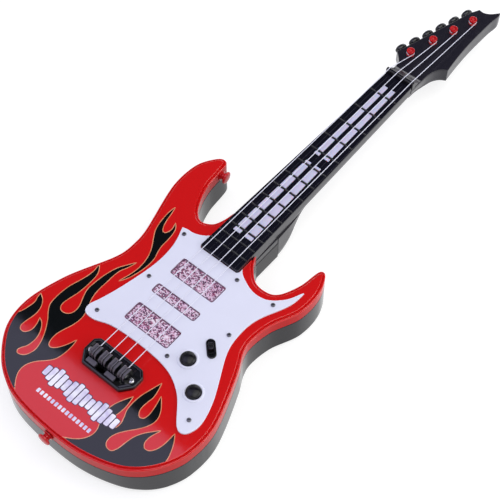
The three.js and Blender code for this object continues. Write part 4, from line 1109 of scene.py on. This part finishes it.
def neck_back():
    top = NECK_SEAM - 0.05
    stations = smooth([(157.7, 0.5), (160, 0.6), (165, 1.6), (170.5, 4.8), (181, 15.6), (186, 20),
                       (192, 23.4), (200, 25), (215, 25.5), (322, 25.2), (334, 25.1), (346, 24.8)], step=3)
    turn = np.linspace(0, np.pi, 25)

    def ring(y, bottom):
        c = clear_of_heel(y)
        wide = (1 - c) * (17.9 - (y - 160) * 0.05) + c * (board_half(min(y, 328)) - 1.9)
        power = (1 - c) * 0.22 + c * 0.75
        side = np.cos(turn)
        x = wide * np.sign(side) * np.abs(side) ** power
        z = top - (top - bottom) * np.clip(np.sin(turn), 0, 1) ** power
        z[[0, -1]] = top
        return np.column_stack([x, np.full(len(x), y), z])

    neck = make(loft([ring(y, b) for y, b in stations] + [ring(346, 24.8)]))
    # the back of the headstock slopes up to meet the neck
    slope = smooth([(322, 25.2), (335, 25), (345, 24.6), (352, 23.6), (370, 20.8), (388, HEAD_BOTTOM)],
                   step=2)
    slope = np.concatenate([slope, [(388, HEAD_BOTTOM), (460, HEAD_BOTTOM)]])

    def head_ring(d, z):
        at = level(near_neck(inset(HEAD, d)), z)
        bottom = np.interp(at[:, 1], slope[:, 0], slope[:, 1])
        at[:, 2] = top - (top - z) * (top - bottom) / (top - HEAD_BOTTOM)
        return at

    rings = [level(near_neck(inset(HEAD, 4)), 12)]
    rings += [head_ring(d, HEAD_BOTTOM + z) for d, z in quarter(4, 4.5, 9)]
    head = make(loft(rings + [head_ring(0, top)]))
    wedge = np.concatenate([[(300, 0), (460, 0)], slope[::-1] + (0, 0.02), [(300, 25.22)]])
    cut(head, along_x(prism(wedge, -30, 30)))
    foot = prism([(-17.8, 113.5), (17.8, 113.5), (17.6, 160.5), (-17.6, 160.5)], TONGUE_TOP + 0.45, top)
    join(neck, foot, head)
    profile = [(163, 40), (163, 6), (168, 6.5), (175, 13.5), (182, 20.5), (190, 26.5), (196, 40)]
    cut(neck, block(-11, 11, 163.5, 321, 27, 40), along_x(prism(profile, -13.6, 13.6)),
        head_hollow(24.2, 40), *peg_bores(), *rods(NECK_HOLE, NECK_SCREWS, 20, 40, 20))
    show(neck, "neck_back", "neck_black", neck_satin)


# ---------------------------------------------------------------- fretboard, light strip, nut
# each space between two frets is 0.938 of the one before
FRETS = [311.2 - 20.9 * (1 - 0.938**k) / 0.062 for k in range(14)]
BLOCKS = [(FRETS[0] + 0.8, FRETS[0] + 9.4), (FRETS[4] - 4, FRETS[4] - 0.8), (FRETS[5] + 0.8, FRETS[5] + 3.4),
          (FRETS[11] - 4.6, FRETS[11] - 0.8)]
BLOCKS += [(FRETS[k + 1] + 0.8, FRETS[k] - 0.8) for k in (0, 1, 2, 3, 5, 6, 7, 8, 9, 10)]


def block_outline(y0, y1, side, grow):
    """A light block's outline, wider towards the body, on one side of the board."""
    def edges(y, d):
        middle = 5.55 + (y - 140) * (3.6 - 5.55) / 180
        half = 3.4 + (y - 140) * (1.9 - 3.4) / 180
        return side * (middle - half - d), side * (middle + half + d)
    a, b = edges(y0, grow), edges(y1, grow)
    return rounded([(a[0], y0 - grow), (a[1], y0 - grow), (b[1], y1 + grow), (b[0], y1 + grow)], 0.45, 3)


def fretboard():
    edge = rounded([(-18.2, 110.8), (-17, BOARD_END), (17, BOARD_END), (18.2, 110.8),
                    (board_half(NUT_Y), NUT_Y), (-board_half(NUT_Y), NUT_Y)], 0.3)
    board = make(stack(edge, (0, BOARD_Z), (0, 39.8), (0.1, 40.03), (0.25, 40.15), (0.45, BOARD_TOP),
                       (0.7, BOARD_TOP)))
    crown = [(-0.7, 40.0), (0.7, 40.0), (0.62, 40.3), (0.45, 40.58), (0.22, 40.74), (0, 40.8),
             (-0.22, 40.74), (-0.45, 40.58), (-0.62, 40.3)]
    join(board, *[along_x(pad(np.array(crown) + (y, 0), -board_half(y) + 0.6, board_half(y) - 0.6, 0.25, 2))
                  for y in FRETS])
    pairs = [(*ends, side) for ends in BLOCKS for side in (-1, 1)]
    cut(board, *[prism(block_outline(*p, 0.15), 30, 42) for p in pairs])

    def choose(middle, normal):
        return middle[:, 2] > BOARD_TOP + 0.03

    show(board, "fretboard", "board_black", board_gloss, fret_black, choose=choose)
    strip = make(pad(rect(-9, 9, 135, 323, 0.6), 35.7, 37, 0.15, 2))
    join(strip, *[pad(block_outline(*p, -0.15), 36.5, BOARD_TOP + 0.1, 0.3) for p in pairs])
    show(strip, "light_strip", "light_block", block_milky)


def nut():
    side = rounded([(332.7, 37.3), (336.5, 37.3), (336.5, 43.2), (335.3, 44.5), (333.4, 44.5),
                    (332.7, 43.6)], 0.5)
    bar = make(along_x(pad(side, -13.4, 13.4, 0.3)))
    middles = [string_x(k, "nut") for k in STRINGS]
    cut(bar, *[pad(rect(x - 0.75, x + 0.75, 330, 340), 44.1, 47, 0.3) for x in middles])
    show(bar, "nut", "black_trim", black_gloss)


# ---------------------------------------------------------------- string posts, strings, pegs
def posts_and_strings():
    profile = [(0, 30.5), (1.6, 30.5), (1.6, 36.1), (3.2, 36.1), (3.3, 36.2), (3.2, 36.5), (2.75, 37.0),
               (POST_R, 37.5), (POST_R, 38.4), (2.7, 38.8), (3.1, 39.15), (3.3, 39.45), (3.3, 40.4),
               (3.2, 40.68), (2.95, 40.8), (2.55, 40.8), (2.35, 40.65), (2.15, 39.9), (1.35, 39.7),
               (1.1, 40.1), (0.8, 40.25), (0, 40.3)]
    for k, (node, (x, y)) in enumerate(POSTS.items()):
        centred(lathe(profile, 48), node, (x, y), "red_trim", red_turned)
        start = Vector((string_x(k, "bridge"), SADDLE_Y - 0.9, STRING_BRIDGE_Z))
        rest = Vector((string_x(k, "nut"), *STRING_NUT))
        turn_r = POST_R + STRING_R + 0.12
        first = math.atan2(y - rest.y, x - rest.x) - math.pi / 2
        wraps = [(x + turn_r * math.cos(first + t), y + turn_r * math.sin(first + t), 37.75 + 0.065 * t)
                 for t in np.linspace(0, 1.55 * math.pi, 40)]
        path = [start + (rest - start) * t for t in np.linspace(0, 0.995, 12)]
        bend = [rest + Vector((0, d, -0.02 * d * d)) for d in (-0.5, 0, 0.5)]
        lead = [bend[-1].lerp(Vector(wraps[0]), t) for t in (0.33, 0.66)]
        show(make(tube([*path, *bend, *lead, *wraps], STRING_R)), f"string_{k + 1}", "string_wire", wire)


def tuning_pegs():
    shaft = [(0, -5), (2.6, -5), (2.7, -4.9), (2.7, -3.2), (1.6, -3.2), (1.6, 1.1), (2.3, 1.2), (2.55, 1.5),
             (2.45, 2.2), (1.9, 3.4), (1.7, 4.6), (0, 4.6)]
    along, up = Vector((0.2845, 0.9587, 0)), Vector((0, 0, 1))
    turn = np.arange(40) * 2 * np.pi / 40
    # distance out along the peg, half length and half height of its paddle there
    levels = [(3.9, 3.6, 2.5), (4.05, 4.3, 3.15), (4.4, 4.75, 3.55), (5.2, 5.15, 3.92), (6.0, 5.3, 4.1),
              (6.8, 5.25, 4.05), (7.5, 4.95, 3.8), (8.0, 4.4, 3.3), (8.25, 3.9, 2.85), (8.3, 3.5, 2.5),
              (8.2, 3.1, 2.15), (8.05, 2.6, 1.7)]
    for node, at in PEGS.items():
        stem = make(aimed(lathe(shaft, 32), at, PEG_OUT))
        rings = [np.array([at + PEG_OUT * d + along * (a * math.cos(t)) + up * (b * math.sin(t))
                           for t in turn]) for d, a, b in levels]
        join(stem, loft(rings))
        show(stem, node, "peg_black", peg_plastic)


# ---------------------------------------------------------------- battery bay
def battery():
    x, y0, y1 = COVER
    cover = make(pad(rect(-x + 0.3, x - 0.3, y0 + 0.3, y1 - 0.3, 1.0), 0.2, 2.3, 0.35))
    grips = [pad(rect(-26 + i * 2.6, -24.8 + i * 2.6, -42, -20, 0.6), -1, 0.7, 0.2, 2) for i in range(5)]
    sx, sy = COVER_SCREW
    well = lathe([(0, -1), (3.1, -1), (2.7, 0.6), (2.7, 1.4), (1.35, 1.4), (1.35, 5), (0, 5)], 40)
    cut(cover, *grips, aimed(well, (sx, sy, 0)))
    show(cover, "battery_cover", "dark_shell", back_plastic)
    r = 7.1
    profile = [(0, -25), (5.9, -25), (6.3, -24.9), (6.7, -24.6), (r, -24.3), (r, 23.5), (6.9, 23.8),
               (6.5, 23.9), (2.75, 23.9), (2.7, 24.7), (2.5, 25), (0, 25)]
    for i in range(3):
        axis = (-1, 0, 0) if i == 1 else (1, 0, 0)
        middle = (CELL_BAY[1] + CELL_BAY[2]) / 2 + (i - 1) * CELL_PITCH
        cell = make(aimed(lathe(profile, 48), (0, middle, 10), axis))
        show(cell, f"cell_{i + 1}", "cell_wrap", cell_wrap, cell_steel,
             choose=lambda mid, normal: (abs(normal[:, 0]) > 0.6) | (abs(mid[:, 0]) > 24.2))


def loudspeaker():
    profile = [(0, 4.0), (1.6, 4.1), (3.0, 4.6), (4.1, 5.6), (4.6, 5.9), (12.2, 4.2), (13.6, 3.7),
               (14.6, 3.4), (15.6, 3.5), (16.3, 3.95), (16.9, 3.9), (17.3, 3.2), (17.7, 3.0), (19.4, 3.0),
               (19.5, 3.1), (19.5, 4.6), (17.5, 5.4), (12, 9.4), (10, 9.8), (10, 14.4), (9.8, 14.6),
               (0, 14.6)]

    def choose(middle, normal):
        x, y, z = middle.T
        return (np.hypot(x - SPEAKER[0], y - SPEAKER[1]) < 17) & (z < 6.1)

    show(make(aimed(lathe(profile), (*SPEAKER, 0))), "loudspeaker", "speaker", speaker_metal, speaker_paper,
         choose=choose)


front_shell()
back_shell()
scratch_plate()
screws()
pickups()
bridge()
saddles()
buttons()
switch()
strap_buttons()
neck_front()
neck_back()
fretboard()
nut()
posts_and_strings()
tuning_pegs()
battery()
loudspeaker()
for contact in ("contact_strip_bass", "contact_strip_treble"):
    dress(contact, spring_steel, 0.08)
dress("circuit_board", board_green, 0.12)


# ---------------------------------------------------------------- floor, lights, camera
FLOOR_Z = -0.0003  # just under the lowest point of the guitar


def studio():
    """A white floor that curves up into a low wall all round."""
    profile = [(0.6, FLOOR_Z), (2.4, FLOOR_Z), *arc(2.4, 1.2 + FLOOR_Z, 1.2, -90, 0, 12)[1:], (3.6, 2.0)]
    t = np.arange(96) * 2 * np.pi / 96
    rings = [np.column_stack([r * np.cos(t), r * np.sin(t), np.full(96, z)]) / MM for r, z in profile]
    floor = make(loft(rings, top=False), "floor")
    material, node = shader("white floor")
    place = node("TexCoord", out="Object")
    tone = ramp(node, noise(node, place, 400, 2), [(0.3, (0.35, 0.35, 0.355)), (0.7, (0.37, 0.37, 0.37))])
    surface = node("BsdfPrincipled", {"Base Color": tone, "Roughness": 0.9, "Specular IOR Level": 0.1,
                                      "Emission Color": (1, 1, 1), "Emission Strength": 0.74})
    node("OutputMaterial", {"Surface": surface})
    floor.data.materials.append(material)
    floor.data.polygons.foreach_set("use_smooth", np.ones(len(floor.data.polygons), bool))


def panel(name, at, towards, size, radiance, colour):
    """A soft rectangular light of a given brightness."""
    light = bpy.data.lights.new(name, "AREA")
    light.shape = "RECTANGLE"
    light.size, light.size_y = size
    light.energy = math.pi * size[0] * size[1] * radiance
    light.color = colour
    obj = bpy.data.objects.new(name, light)
    obj.location = at
    obj.rotation_euler = (Vector(towards) - Vector(at)).to_track_quat("-Z", "Y").to_euler()
    scene.collection.objects.link(obj)


def lights():
    world = bpy.data.worlds.new("studio air")
    world.use_nodes = True
    world.node_tree.nodes["Background"].inputs["Color"].default_value = (0.80, 0.82, 1.0, 1)
    world.node_tree.nodes["Background"].inputs["Strength"].default_value = 0.10
    scene.world = world
    panel("overhead", (-0.70, -0.35, 1.54), (-0.70, -0.35, 0), (1.4, 1.6), 1.7, (0.72, 0.70, 1.0))
    panel("ceiling", (0.48, 0.42, 1.54), (0.48, 0.42, 0), (0.9, 1.7), 3.1, (1.0, 1.0, 0.95))
    panel("window", (1.6, 1.0, 0.70), (0, 0.1, 0.03), (1.1, 0.8), 3.6, (1.0, 1.0, 1.0))
    panel("far window", (-0.6, 2.2, 0.75), (0, 0.2, 0.03), (1.6, 0.8), 2.4, (0.95, 0.95, 1.0))


def camera():
    lens = bpy.data.cameras.new("camera")
    lens.sensor_width = 36
    lens.lens = 95.62
    lens.clip_start = 0.01
    obj = bpy.data.objects.new("camera", lens)
    obj.location = (0.3575, -0.2804, 0.8655)
    obj.rotation_euler = Vector((-0.350, 0.417, -0.8387)).to_track_quat("-Z", "Y").to_euler()
    scene.collection.objects.link(obj)
    scene.camera = obj


studio()
lights()
camera()
scene.view_settings.view_transform = "Standard"
